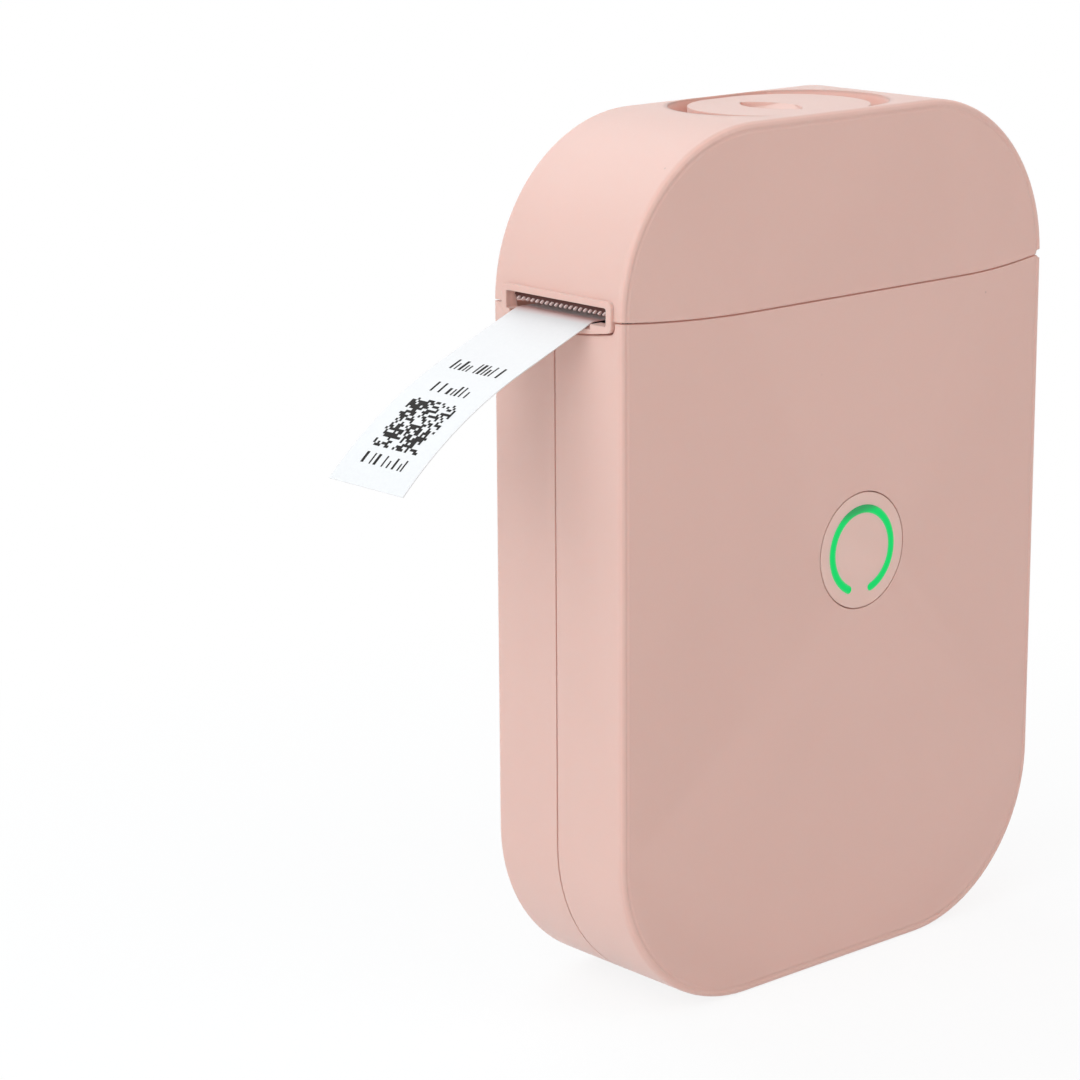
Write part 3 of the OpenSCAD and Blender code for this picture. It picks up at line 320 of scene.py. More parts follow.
def natural_acetal(name):
    """Natural acetal, moulded: milky white, slightly waxy, with a little light passing through thin walls."""
    material, tree, place = open_material(name)
    flow = add(tree, "ShaderNodeTexNoise", {"Vector": place, "Scale": 1 / (2 * MM), "Detail": 2.0})
    tone = add(tree, "ShaderNodeMix", {"Factor": flow.outputs["Fac"], "A": linear("E9E8E1"), "B": linear("F3F2EC")},
               data_type="RGBA")
    gloss = add(tree, "ShaderNodeMapRange", {"Value": flow.outputs["Fac"], "To Min": 0.28, "To Max": 0.38})
    close_material(tree, {"Base Color": tone.outputs["Result"], "Roughness": gloss.outputs["Result"], "IOR": 1.48,
                          "Subsurface Weight": 0.15, "Subsurface Radius": (0.6 * MM, 0.5 * MM, 0.4 * MM),
                          "Subsurface Scale": 1.0})
    return material


def ground_silicone(name):
    """Silicone rubber ground to size: dark grey and dull, with grinding marks 0.35 mm apart along the roller."""
    material, tree, place = open_material(name)
    marks = add(tree, "ShaderNodeTexWave", {"Vector": place, "Scale": wave_scale(0.35 * MM), "Distortion": 1.5,
                                            "Detail": 3.0}, bands_direction="Y")
    tone = add(tree, "ShaderNodeMix", {"Factor": marks.outputs["Fac"], "A": linear("26272A"), "B": linear("323336")},
               data_type="RGBA")
    bump = add(tree, "ShaderNodeBump", {"Height": marks.outputs["Fac"], "Strength": 0.3, "Distance": 0.02 * MM})
    close_material(tree, {"Base Color": tone.outputs["Result"], "Roughness": 0.78, "IOR": 1.42},
                   bump.outputs["Normal"])
    return material


def thermal_paper(name, wound=False, painted_bounce_from=None):
    """Coated thermal label paper: smooth white with a faint fibre cloud; a wound roll shows its turns on the ends."""
    material, tree, place = open_material(name)
    fibre = add(tree, "ShaderNodeTexNoise", {"Vector": place, "Scale": 1 / (0.6 * MM), "Detail": 5.0,
                                             "Roughness": 0.7})
    tone = add(tree, "ShaderNodeMix", {"Factor": fibre.outputs["Fac"], "A": linear("DCD8D7"), "B": linear("E4E0DF")},
               data_type="RGBA")
    surface_colour = tone.outputs["Result"]
    height = fibre.outputs["Fac"]
    if wound:
        # turns of tape drawn 0.6 mm apart, coarser than the real 0.15 mm so that they show
        low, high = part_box("label_roll")
        axis = (low + high) / 2
        middle = add(tree, "ShaderNodeMapping", {"Vector": place, "Location": (-axis.x, 0.0, -axis.z)})
        turns = add(tree, "ShaderNodeTexWave", {"Vector": middle.outputs["Vector"], "Scale": wave_scale(0.6 * MM),
                                                "Distortion": 0.3}, wave_type="RINGS", rings_direction="Y")
        facing = add(tree, "ShaderNodeNewGeometry")
        along = add(tree, "ShaderNodeSeparateXYZ", {"Vector": facing.outputs["Normal"]})
        end = add(tree, "ShaderNodeMath", {0: along.outputs["Y"]}, operation="ABSOLUTE")
        shade = add(tree, "ShaderNodeMath", {0: turns.outputs["Fac"], 1: end.outputs["Value"]}, operation="MULTIPLY")
        lined = add(tree, "ShaderNodeMix", {"Factor": shade.outputs["Value"], "A": surface_colour,
                                            "B": linear("C9C8C8")}, data_type="RGBA")
        surface_colour = lined.outputs["Result"]
        height = shade.outputs["Value"]
    if painted_bounce_from is not None:
        # painted light: inside the outlet the paper takes a pink tint that stands in for light bounced off the pink
        # sill and frame
        at = add(tree, "ShaderNodeSeparateXYZ", {"Vector": place})
        inside = add(tree, "ShaderNodeMapRange", {"Value": at.outputs["X"], "From Min": painted_bounce_from - 1.2 * MM,
                                                  "From Max": painted_bounce_from + 0.6 * MM})
        beyond = add(tree, "ShaderNodeMapRange", {"Value": at.outputs["X"], "From Min": painted_bounce_from + MM,
                                                  "From Max": painted_bounce_from + 2.2 * MM, "To Min": 1.0, "To Max": 0.0})
        share = add(tree, "ShaderNodeMath", {0: inside.outputs["Result"], 1: beyond.outputs["Result"]},
                    operation="MULTIPLY")
        bounce_tint = add(tree, "ShaderNodeMix", {"Factor": share.outputs["Value"], "A": surface_colour,
                                             "B": linear("E3B6B0")}, data_type="RGBA")
        surface_colour = bounce_tint.outputs["Result"]
    bump = add(tree, "ShaderNodeBump", {"Height": height, "Strength": 0.05, "Distance": 0.03 * MM})
    close_material(tree, {"Base Color": surface_colour, "Roughness": 0.5, "IOR": 1.5}, bump.outputs["Normal"])
    return material


def thermal_ink(name, colour):
    """The dark image that heat brings out in thermal paper: dull, never quite black, a little uneven."""
    material, tree, place = open_material(name)
    cloud = add(tree, "ShaderNodeTexNoise", {"Vector": place, "Scale": 1 / (0.5 * MM), "Detail": 3.0})
    tone = add(tree, "ShaderNodeMix", {"Factor": cloud.outputs["Fac"], "A": colour, "B": toned(colour, 1.5, 0.004)},
               data_type="RGBA")
    close_material(tree, {"Base Color": tone.outputs["Result"], "Roughness": 0.7, "IOR": 1.5,
                          "Specular IOR Level": 0.2})
    return material


def grey_board(name):
    """Wound grey board of the core: speckled recycled fibre."""
    material, tree, place = open_material(name)
    fibre = add(tree, "ShaderNodeTexNoise", {"Vector": place, "Scale": 1 / (0.5 * MM), "Detail": 6.0,
                                             "Roughness": 0.75})
    tone = add(tree, "ShaderNodeMix", {"Factor": fibre.outputs["Fac"], "A": linear("A89F90"), "B": linear("D0C8BA")},
               data_type="RGBA")
    bump = add(tree, "ShaderNodeBump", {"Height": fibre.outputs["Fac"], "Strength": 0.4, "Distance": 0.05 * MM})
    close_material(tree, {"Base Color": tone.outputs["Result"], "Roughness": 0.85}, bump.outputs["Normal"])
    return material


def solder_mask(name):
    """Green solder mask over copper: patches about 3 mm across stand out a shade lighter under a wet gloss."""
    material, tree, place = open_material(name)
    cells = add(tree, "ShaderNodeTexVoronoi", {"Vector": place, "Scale": 1 / (3.2 * MM)}, distance="MANHATTAN",
                feature="F1")
    copper = add(tree, "ShaderNodeMapRange", {"Value": cells.outputs["Distance"], "From Min": 0.46,
                                              "From Max": 0.54})
    tone = add(tree, "ShaderNodeMix", {"Factor": copper.outputs["Result"], "A": linear("14492B"),
                                       "B": linear("1F6A3D")}, data_type="RGBA")
    bump = add(tree, "ShaderNodeBump", {"Height": copper.outputs["Result"], "Strength": 0.3, "Distance": 0.04 * MM})
    close_material(tree, {"Base Color": tone.outputs["Result"], "Roughness": 0.22, "IOR": 1.55},
                   bump.outputs["Normal"])
    return material


def ground_alumina(name):
    """Alumina ceramic of the print head, ground flat and glazed: warm white with a dull shine."""
    material, tree, place = open_material(name)
    grain = add(tree, "ShaderNodeTexNoise", {"Vector": place, "Scale": 1 / (0.3 * MM), "Detail": 4.0})
    tone = add(tree, "ShaderNodeMix", {"Factor": grain.outputs["Fac"], "A": linear("E4DED2"), "B": linear("F0EBE1")},
               data_type="RGBA")
    gloss = add(tree, "ShaderNodeMapRange", {"Value": grain.outputs["Fac"], "To Min": 0.25, "To Max": 0.4})
    close_material(tree, {"Base Color": tone.outputs["Result"], "Roughness": gloss.outputs["Result"], "IOR": 1.76})
    return material


def heater_glaze(name):
    """Fired glass over the row of heating dots: brown under a wet shine, with a dot in each quarter millimetre."""
    material, tree, place = open_material(name)
    dots = add(tree, "ShaderNodeTexWave", {"Vector": place, "Scale": wave_scale(0.25 * MM)}, bands_direction="Y")
    tone = add(tree, "ShaderNodeMix", {"Factor": dots.outputs["Fac"], "A": linear("4A3B2E"), "B": linear("6B5743")},
               data_type="RGBA")
    close_material(tree, {"Base Color": tone.outputs["Result"], "Roughness": 0.12, "IOR": 1.6})
    return material


def pouch_foil(name):
    """Aluminium laminate of a battery pouch: dull silver, softly wrinkled."""
    material, tree, place = open_material(name)
    wrinkle = add(tree, "ShaderNodeTexNoise", {"Vector": place, "Scale": 1 / (5 * MM), "Detail": 5.0,
                                               "Distortion": 0.8})
    gloss = add(tree, "ShaderNodeMapRange", {"Value": wrinkle.outputs["Fac"], "To Min": 0.32, "To Max": 0.5})
    bump = add(tree, "ShaderNodeBump", {"Height": wrinkle.outputs["Fac"], "Strength": 0.35, "Distance": 0.3 * MM})
    close_material(tree, {"Base Color": linear("A9ABB0"), "Metallic": 0.85, "Roughness": gloss.outputs["Result"]},
                   bump.outputs["Normal"])
    return material


def lit_guide(name, glow, strength):
    """Frosted acrylic light guide with its lamps on: full green in its middle, paler at the rims, dimmer on top."""
    material, tree, place = open_material(name)
    low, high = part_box("light_ring")
    outer = (high.x - low.x) / 2
    centre = Vector((low.x + outer, 0.0, high.z - outer))
    off = add(tree, "ShaderNodeVectorMath", {0: place, 1: centre}, operation="SUBTRACT")
    flat = add(tree, "ShaderNodeVectorMath", {0: off.outputs["Vector"], 1: (1.0, 0.0, 1.0)}, operation="MULTIPLY")
    reach = add(tree, "ShaderNodeVectorMath", {0: flat.outputs["Vector"]}, operation="LENGTH")
    aside = add(tree, "ShaderNodeMath", {0: reach.outputs["Value"], 1: outer - RING_WIDE / 2}, operation="SUBTRACT")
    spread = add(tree, "ShaderNodeMath", {0: aside.outputs["Value"]}, operation="ABSOLUTE")
    rim = add(tree, "ShaderNodeMapRange", {"Value": spread.outputs["Value"], "From Min": 0.25 * RING_WIDE,
                                           "From Max": 0.5 * RING_WIDE})
    # the part of the ring farthest from its lamps, a little left of the top
    upward = Vector((-0.12, 0.0, 0.99)) / outer
    lean = add(tree, "ShaderNodeVectorMath", {0: off.outputs["Vector"], 1: upward}, operation="DOT_PRODUCT")
    far = add(tree, "ShaderNodeMapRange", {"Value": lean.outputs["Value"], "From Min": 0.72, "From Max": 0.94},
              interpolation_type="SMOOTHSTEP")
    dim = (glow[0] + 0.03, glow[1] * 0.5, glow[2] * 0.75, 1.0)
    across = add(tree, "ShaderNodeMix", {"Factor": rim.outputs["Result"], "A": glow, "B": toned(glow, 0.85, 0.08)},
                 data_type="RGBA")
    shine = add(tree, "ShaderNodeMix", {"Factor": far.outputs["Result"], "A": across.outputs["Result"], "B": dim},
                data_type="RGBA")
    frost = add(tree, "ShaderNodeTexNoise", {"Vector": place, "Scale": 1 / (0.2 * MM)})
    bump = add(tree, "ShaderNodeBump", {"Height": frost.outputs["Fac"], "Strength": 0.1, "Distance": 0.02 * MM})
    close_material(tree, {"Base Color": linear("04301A"), "Roughness": 0.6, "IOR": 1.49, "Specular IOR Level": 0.15,
                          "Emission Color": shine.outputs["Result"], "Emission Strength": strength},
                   bump.outputs["Normal"])
    return material


# ---------- settings ----------
class LABELER_PG_case(bpy.types.PropertyGroup):
    colour: bpy.props.FloatVectorProperty(
        name="Case colour", description="Colour of the moulded case",
        subtype="COLOR", size=4, min=0.0, max=1.0, default=linear("DDB4A8"))
    button_colour: bpy.props.FloatVectorProperty(
        name="Button colour", description="Colour of the power button",
        subtype="COLOR", size=4, min=0.0, max=1.0, default=linear("E4BFB3"))
    inner_colour: bpy.props.FloatVectorProperty(
        name="Inner colour", description="Colour of the mouldings inside",
        subtype="COLOR", size=4, min=0.0, max=1.0, default=linear("D0A094"))
    grain: bpy.props.FloatProperty(
        name="Grain", description="Spacing of the moulded grain", unit="LENGTH", default=0.22 * MM)
    dust: bpy.props.FloatProperty(
        name="Dust", description="How much dust shows in the grain", subtype="FACTOR", min=0.0, max=1.0, default=0.5)
    # strength of the painted light that stands in for light soaked and bounced into the gaps of the walls
    painted_gap_glow: bpy.props.FloatProperty(
        name="Gap glow", description="Light that soaks through the walls into the gaps", min=0.0, default=0.1)


class LABELER_PG_light(bpy.types.PropertyGroup):
    glow: bpy.props.FloatVectorProperty(
        name="Glow", description="Colour of the light ring",
        subtype="COLOR", size=4, min=0.0, max=1.0, default=linear("00CC62"))
    strength: bpy.props.FloatProperty(name="Strength", description="Brightness of the light ring", default=1.05)


class LABELER_PG_tape(bpy.types.PropertyGroup):
    ink: bpy.props.FloatVectorProperty(
        name="Ink", description="Colour of the printed marks",
        subtype="COLOR", size=4, min=0.0, max=1.0, default=linear("1A1513"))
    thickness: bpy.props.FloatProperty(
        name="Thickness", description="Thickness of the tape", unit="LENGTH", default=0.15 * MM)
    lead: bpy.props.FloatProperty(
        name="Lead", description="Level tape before the bend", unit="LENGTH", default=7 * MM)
    bend: bpy.props.FloatProperty(
        name="Bend radius", description="Radius where the tape turns over the sill", unit="LENGTH", default=3 * MM)
    lean: bpy.props.FloatProperty(
        name="Lean", description="Slope of the tape as it leaves the outlet", unit="ROTATION",
        default=math.radians(22.5))
    run: bpy.props.FloatProperty(
        name="Straight run", description="Length of tape before it curls", unit="LENGTH", default=14 * MM)
    curl: bpy.props.FloatProperty(
        name="Curl radius", description="Radius of the curled end", unit="LENGTH", default=64 * MM)
    cell: bpy.props.FloatProperty(
        name="Cell", description="Size of one square of the printed pattern", unit="LENGTH", default=0.44 * MM)
    seed: bpy.props.IntProperty(name="Seed", description="Picks the printed pattern", default=7)


class LABELER_PG_springs(bpy.types.PropertyGroup):
    wire: bpy.props.FloatProperty(
        name="Wire", description="Diameter of the spring wire", unit="LENGTH", default=0.45 * MM)
    release_turns: bpy.props.IntProperty(
        name="Release turns", description="Turns of the release spring", default=8)
    head_turns: bpy.props.IntProperty(
        name="Head turns", description="Turns of each head spring", default=6)
    latch_turns: bpy.props.IntProperty(
        name="Latch turns", description="Turns of the latch spring", default=7)
    latch_radius: bpy.props.FloatProperty(
        name="Latch radius", description="Radius of the latch spring to the middle of its wire", unit="LENGTH",
        default=1.6 * MM)


class LABELER_PG_stage(bpy.types.PropertyGroup):
    azimuth: bpy.props.FloatProperty(
        name="Azimuth", description="Direction of the camera round the printer", unit="ROTATION",
        default=math.radians(-41.24))
    elevation: bpy.props.FloatProperty(
        name="Elevation", description="Height of the camera above the horizon", unit="ROTATION",
        default=math.radians(14.18))
    roll: bpy.props.FloatProperty(
        name="Roll", description="Tilt of the camera", unit="ROTATION", default=math.radians(-0.42))
    distance: bpy.props.FloatProperty(
        name="Distance", description="Distance of the camera", unit="LENGTH", default=508.87 * MM)
    aim: bpy.props.FloatVectorProperty(
        name="Aim", description="Shift of the aim point to the right and up in the view, and its height",
        subtype="XYZ", unit="LENGTH", size=3, default=(-35.46 * MM, -0.75 * MM, 65 * MM))
    lens: bpy.props.FloatProperty(name="Lens", description="Focal length in millimetres", default=112.28)
    key: bpy.props.FloatProperty(
        name="Key light", description="Power of the main light", unit="POWER", default=5.1)
    top: bpy.props.FloatProperty(
        name="Top light", description="Power of the light above and behind", unit="POWER", default=3.6)
    cool_colour: bpy.props.FloatVectorProperty(
        name="Cool colour", description="Colour of the main light and the top light",
        subtype="COLOR", size=4, min=0.0, max=1.0, default=linear("ECF9FF"))
    front: bpy.props.FloatProperty(
        name="Front light", description="Power of the weak light in front", unit="POWER", default=2.22)
    front_colour: bpy.props.FloatVectorProperty(
        name="Front colour", description="Colour of the weak light in front",
        subtype="COLOR", size=4, min=0.0, max=1.0, default=linear("FFF7F5"))
    fill: bpy.props.FloatProperty(name="Fill", description="Brightness of the surroundings", default=0.45)


# ---------- stage ----------
def seen_directly(tree):
    """1 for the rays that show the background itself: straight, mirrored or through glass."""
    path = add(tree, "ShaderNodeLightPath")
    through = add(tree, "ShaderNodeMath", {0: path.outputs["Is Camera Ray"], 1: path.outputs["Is Transmission Ray"]},
                  operation="MAXIMUM")
    any_way = add(tree, "ShaderNodeMath", {0: through.outputs["Value"], 1: path.outputs["Is Glossy Ray"]},
                  operation="MAXIMUM")
    return any_way.outputs["Value"]


class LABELER_OT_stage(bpy.types.Operator):
    """Sets up the floor, the soft lights and the camera"""
    bl_idname = "labeler.stage"
    bl_label = "Studio"

    def execute(self, context):
        scene = context.scene
        s = scene.labeler_stage
        scene.view_settings.view_transform = "Standard"
        self.camera(scene, s)
        self.surroundings(scene, s)
        self.floor(scene)
        # each lamp's place and the width of its disc are in metres
        for name, place, width, power, colour in (
                ("key_light", (-0.70, -0.12, 0.55), 0.9, s.key, s.cool_colour),
                ("top_light", (0.0, 0.6, 0.85), 1.0, s.top, s.cool_colour),
                ("front_light", (0.25, -0.7, 0.8), 0.8, s.front, s.front_colour)):
            data = bpy.data.lights.new(name, "AREA")
            data.shape = "DISK"
            data.size = width
            data.energy = power
            data.color = colour[:3]
            lamp = bpy.data.objects.new(name, data)
            scene.collection.objects.link(lamp)
            lamp.location = place
            lamp.rotation_mode = "QUATERNION"
            lamp.rotation_quaternion = (Vector(place) - Vector((0, 0, s.aim[2]))).to_track_quat("Z", "Y")
        return {"FINISHED"}

    def camera(self, scene, s):
        az, el = s.azimuth, s.elevation
        back = Vector((math.sin(az) * math.cos(el), -math.cos(az) * math.cos(el), math.sin(el)))
        right = (-back).cross(Vector((0, 0, 1))).normalized()
        up = right.cross(-back)
        turn = Matrix.Rotation(s.roll, 3, back)
        data = bpy.data.cameras.new("camera")
        data.lens = s.lens
        data.sensor_width = 36.0
        data.clip_start, data.clip_end = 0.01, 20.0
        camera = bpy.data.objects.new("camera", data)
        scene.collection.objects.link(camera)
        camera.location = Vector((0, 0, s.aim[2])) + right * s.aim[0] + up * s.aim[1] + back * s.distance
        right, up = turn @ right, turn @ up
        camera.matrix_world = Matrix.Translation(camera.location) @ Matrix((right, up, back)).transposed().to_4x4()
        scene.camera = camera

    def surroundings(self, scene, s):
        world = bpy.data.worlds.new("studio")
        scene.world = world
        world.use_nodes = True
        tree = world.node_tree
        tree.nodes.clear()
        level = add(tree, "ShaderNodeMapRange", {"Value": seen_directly(tree), "To Min": s.fill, "To Max": 1.0})
        sky = add(tree, "ShaderNodeBackground", {"Color": linear("FFFFFF"), "Strength": level.outputs["Result"]})
        add(tree, "ShaderNodeOutputWorld", {"Surface": sky.outputs["Background"]})

    def floor(self, scene):
        bm = bmesh.new()
        bmesh.ops.create_grid(bm, x_segments=1, y_segments=1, size=2.5)
        mesh = bpy.data.meshes.new("floor")
        bm.to_mesh(mesh)
        bm.free()
        floor = bpy.data.objects.new("floor", mesh)
        scene.collection.objects.link(floor)
        # matt paper that takes the printer's soft shadow and burns out to white farther off
        material, tree, place = open_material("white_paper_sweep")
        matt = add(tree, "ShaderNodeBsdfDiffuse", {"Color": linear("F4F4F4")})
        white = add(tree, "ShaderNodeEmission", {"Color": linear("FFFFFF"), "Strength": 1.0})
        reach = add(tree, "ShaderNodeVectorMath", {0: place}, operation="LENGTH")
        burn = add(tree, "ShaderNodeMapRange", {"Value": reach.outputs["Value"], "From Min": 60 * MM,
                                                "From Max": 200 * MM, "To Min": 0.86, "To Max": 1.0})
        share = add(tree, "ShaderNodeMath", {0: seen_directly(tree), 1: burn.outputs["Result"]},
                    operation="MULTIPLY")
        blend = add(tree, "ShaderNodeMixShader", {"Fac": share.outputs["Value"], 1: matt.outputs["BSDF"],
                                                  2: white.outputs["Emission"]})
        add(tree, "ShaderNodeOutputMaterial", {"Surface": blend.outputs["Shader"]})
        mesh.materials.append(material)


# ---------- pieces ----------
class LABELER_OT_case(bpy.types.Operator):
    """Finishes the shells, the lid, the release button and the mouldings inside"""
    bl_idname = "labeler.case"
    bl_label = "Case"

    def execute(self, context):
        s = context.scene.labeler_case
        colour = tuple(s.colour)
        # the shells and the lid carry the painted glow in their gaps
        dress(moulded_abs("abs_case", colour, s.grain, specks=s.dust, painted_gap_glow=s.painted_gap_glow),
              "front_shell", "rear_shell")
        dress(moulded_abs("abs_lid", colour, s.grain, specks=s.dust, painted_gap_glow=s.painted_gap_glow,
                          dished_from=CASE_HIGH.z - RECESS_DEEP), "lid")
        dress(moulded_abs("abs_release_button", colour, s.grain), "release_button")
        # the mouldings inside come from a coarser and shinier tool
        dress(moulded_abs("abs_inner", tuple(s.inner_colour), 0.6 * MM, 0.03 * MM, 0.42), "chassis", "lid_bridge")
        return {"FINISHED"}


class LABELER_OT_power(bpy.types.Operator):
    """Finishes the power button, its light ring and the switch behind it"""
    bl_idname = "labeler.power"
    bl_label = "Power button"

    def execute(self, context):
        case = context.scene.labeler_case
        light = context.scene.labeler_light
        dress(moulded_abs("abs_power_button", tuple(case.button_colour), case.grain), "power_button")
        dress(lit_guide("acrylic_light_ring", tuple(light.glow), light.strength), "light_ring")
        dress(bright_steel("plated_switch_frame"), "switch_body")
        dress(black_nylon("nylon_plunger"), "switch_plunger")
        return {"FINISHED"}


def coil(radius, wire, turns, height):
    """A spring wound along Z from 0 to height, with one dead turn at each end."""
    bm = bmesh.new()
    section = Matrix.Translation((radius, 0, wire / 2)) @ Matrix.Rotation(math.pi / 2, 4, "X")
    ring = bmesh.ops.create_circle(bm, cap_ends=False, segments=WIRE_SIDES, radius=wire / 2, matrix=section)
    edges = list({e for v in ring["verts"] for e in v.link_edges})
    bmesh.ops.contextual_create(bm, geom=edges)
    active = turns - 2
    pitch = (height - 3 * wire) / active
    for count, rise in ((1, wire), (active, pitch), (1, wire)):
        spun = bmesh.ops.spin(bm, geom=edges, cent=(0, 0, 0), axis=(0, 0, 1), dvec=(0, 0, rise / COIL_STEPS),
                              angle=math.tau * count, steps=COIL_STEPS * count)
        edges = [g for g in spun["geom_last"] if isinstance(g, bmesh.types.BMEdge)]
    bmesh.ops.contextual_create(bm, geom=edges)
    return bm


class LABELER_OT_springs(bpy.types.Operator):
    """Winds the release spring, the two head springs and the latch spring"""
    bl_idname = "labeler.springs"
    bl_label = "Springs"

    def execute(self, context):
        s = context.scene.labeler_springs
        steel = bright_steel("spring_wire", "A6A7AA", 0.3)
        self.release(s, steel)
        self.head(s, steel)
        self.latch(s, steel)
        return {"FINISHED"}

    def release(self, s, steel):
        low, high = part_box("release_spring")
        centre = (low + high) / 2
        length = high.z - low.z
        bm = coil((high.x - low.x - s.wire) / 2, s.wire, s.release_turns, length)
        bmesh.ops.translate(bm, verts=bm.verts, vec=(centre.x, centre.y, low.z))
        release = settle("release_coil", bm, "lid", steel)
        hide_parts("release_spring")
        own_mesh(release)

    def head(self, s, steel):
        low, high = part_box("head_springs")
        centre = (low + high) / 2
        radius = (high.x - low.x - s.wire) / 2
        both = bmesh.new()
        for y in (low.y + radius + s.wire / 2, high.y - radius - s.wire / 2):
            bm = coil(radius, s.wire, s.head_turns, high.z - low.z)
            bmesh.ops.translate(bm, verts=bm.verts, vec=(centre.x, y, low.z))
            mesh = bpy.data.meshes.new("one_coil")
            bm.to_mesh(mesh)
            bm.free()
            both.from_mesh(mesh)
            bpy.data.meshes.remove(mesh)
        head = settle("head_coils", both, "lid", steel)
        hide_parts("head_springs")
        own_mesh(head)

    def latch(self, s, steel):
        # the latch spring sits round the latch pin, one leg up, one leg forward
        pin_low, pin_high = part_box("latch_pin")
        low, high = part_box("latch_spring")
        axis = (pin_low + pin_high) / 2
        bm = coil(s.latch_radius, s.wire, s.latch_turns, high.y - low.y)
        bmesh.ops.rotate(bm, verts=bm.verts, cent=(0, 0, 0), matrix=Matrix.Rotation(-math.pi / 2, 3, "X"))
        bmesh.ops.translate(bm, verts=bm.verts, vec=(axis.x, low.y, axis.z))
        rim = axis.z + s.latch_radius
        near, far = low.y + s.wire / 2, high.y - s.wire / 2
        for start, end in (((axis.x, near, rim), (axis.x, near, high.z - s.wire / 2)),
                           ((axis.x, far, rim), (high.x - s.wire / 2, far, rim))):
            start, end = Vector(start), Vector(end)
            turn = (end - start).to_track_quat("Z", "Y").to_matrix().to_4x4()
            bmesh.ops.create_cone(bm, cap_ends=True, segments=WIRE_SIDES, radius1=s.wire / 2, radius2=s.wire / 2,
                                  depth=(end - start).length, matrix=Matrix.Translation((start + end) / 2) @ turn)
        torsion = settle("latch_coil", bm, "lid", steel)
        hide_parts("latch_spring")


class LABELER_OT_tape(bpy.types.Operator):
    """Finishes the roll, the core and the tape, and prints marks on its free end"""
    bl_idname = "labeler.tape"
    bl_label = "Label tape"

    def execute(self, context):
        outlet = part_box("tear_bar")[0].x
        # the paper inside the outlet, by the blade, takes painted bounce light from the pink sill and frame
        dress(thermal_paper("label_paper", painted_bounce_from=outlet), "label_strip", "label_web")
        dress(thermal_paper("label_paper_wound", wound=True), "label_roll")
        dress(grey_board("core_board"), "roll_core")
        self.marks(context.scene.labeler_tape)
        return {"FINISHED"}

    def marks(self, s):
        rng = random.Random(s.seed)
        blocks = []
        for row in UPPER_ROWS:
            blocks += self.row(rng, *row)
        blocks += self.field(rng, s.cell)
        blocks += self.row(rng, *LOWER_ROW)
        bm = bmesh.new()
        for start, y, length, width in blocks:
            place = (Matrix.Translation((start + length / 2, y + width / 2, 0))
                     @ Matrix.Diagonal((length / 2, width / 2, 1, 1)))
            # about one cut in each millimetre, so that a stroke follows the curl
            cuts = max(1, round(length / MM))
            bmesh.ops.create_grid(bm, x_segments=cuts, y_segments=1, size=1, matrix=place)
        # cells that touch become one sheet before it is given its thickness, so no wall stands inside it
        bmesh.ops.remove_doubles(bm, verts=bm.verts, dist=1e-7)
        bmesh.ops.solidify(bm, geom=bm.faces[:], thickness=FILM_THICK)
        for v in bm.verts:
            v.co = self.on_tape(s, v.co.x, v.co.y, abs(v.co.z) + FILM_LIFT)
        settle("printed_marks", bm, "lid", thermal_ink("thermal_image", tuple(s.ink)), smooth=False)

    def row(self, rng, start, height, width):
        """Plain strokes of mixed width and height side by side."""
        blocks = []
        y = -width / 2
        while y < width / 2:
            stroke = rng.choice((0.3, 0.3, 0.42, 0.55)) * MM
            top = rng.choice((0.0, 0.0, 0.35)) * height
            blocks.append((start + top, y, height - top, stroke))
            y += stroke + rng.choice((0.4, 0.55, 0.8, 1.2)) * MM
        return blocks

    def field(self, rng, cell):
        """A square field of cells filled at random, with no corner marks."""
        side = FIELD_CELLS * cell
        return [(FIELD_START + i * cell, j * cell - side / 2, cell, cell)
                for i in range(FIELD_CELLS) for j in range(FIELD_CELLS) if rng.random() < 0.5]

    def on_tape(self, s, along, across, lift):
        """Point above the free end: along it from the bend, across it from its middle, lifted off its upper face."""
        low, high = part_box("label_strip")
        start = Vector((high.x - s.lead, (low.y + high.y) / 2 + across, high.z - s.thickness / 2))
        in_bend = min(along, s.bend * s.lean)
        on_run = min(along - in_bend, s.run)
        in_curl = along - in_bend - on_run
        out = self.outward(in_bend / s.bend)
        point = start + s.bend * (out - self.outward(0.0))
        point += on_run * Vector((-out.z, 0, out.x))
        if in_curl > 0:
            centre = point - s.curl * out
            out = self.outward(s.lean + in_curl / s.curl)
            point = centre + s.curl * out
        return point + out * (s.thickness / 2 + lift)

    def outward(self, turned):
        """Direction off the tape's upper face after it has turned down by an angle."""
        return Vector((-math.sin(turned), 0, math.cos(turned)))


class LABELER_OT_head(bpy.types.Operator):
    """Finishes the print head, its pins and the tear bar, and adds the heater line"""
    bl_idname = "labeler.head"
    bl_label = "Print head"

    def execute(self, context):
        dress(milled_aluminium("milled_sink"), "head_sink")
        dress(ground_alumina("alumina_plate"), "head_ceramic")
        dress(black_nylon("epoxy_driver"), "head_driver")
        dress(blackened_blade("blackened_tear_blade"), "tear_bar")
        dress(bright_steel("pin_steel"), "head_pin", "latch_pin", "hinge_pin")
        # glazed bead under the ceramic where the dots of heat are, pressed flat to under half its width
        low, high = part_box("head_ceramic")
        bead_r, flattened, share = 0.4 * MM, 0.45, 0.94
        bm = bmesh.new()
        bead = (Matrix.Translation(((low.x + high.x) / 2, (low.y + high.y) / 2, low.z))
                @ Matrix.Diagonal((1, 1, flattened, 1)) @ Matrix.Rotation(math.pi / 2, 4, "X"))
        bmesh.ops.create_cone(bm, cap_ends=True, segments=20, radius1=bead_r, radius2=bead_r,
                              depth=(high.y - low.y) * share, matrix=bead)
        settle("heater_line", bm, "head", heater_glaze("heater_glaze"))
        return {"FINISHED"}


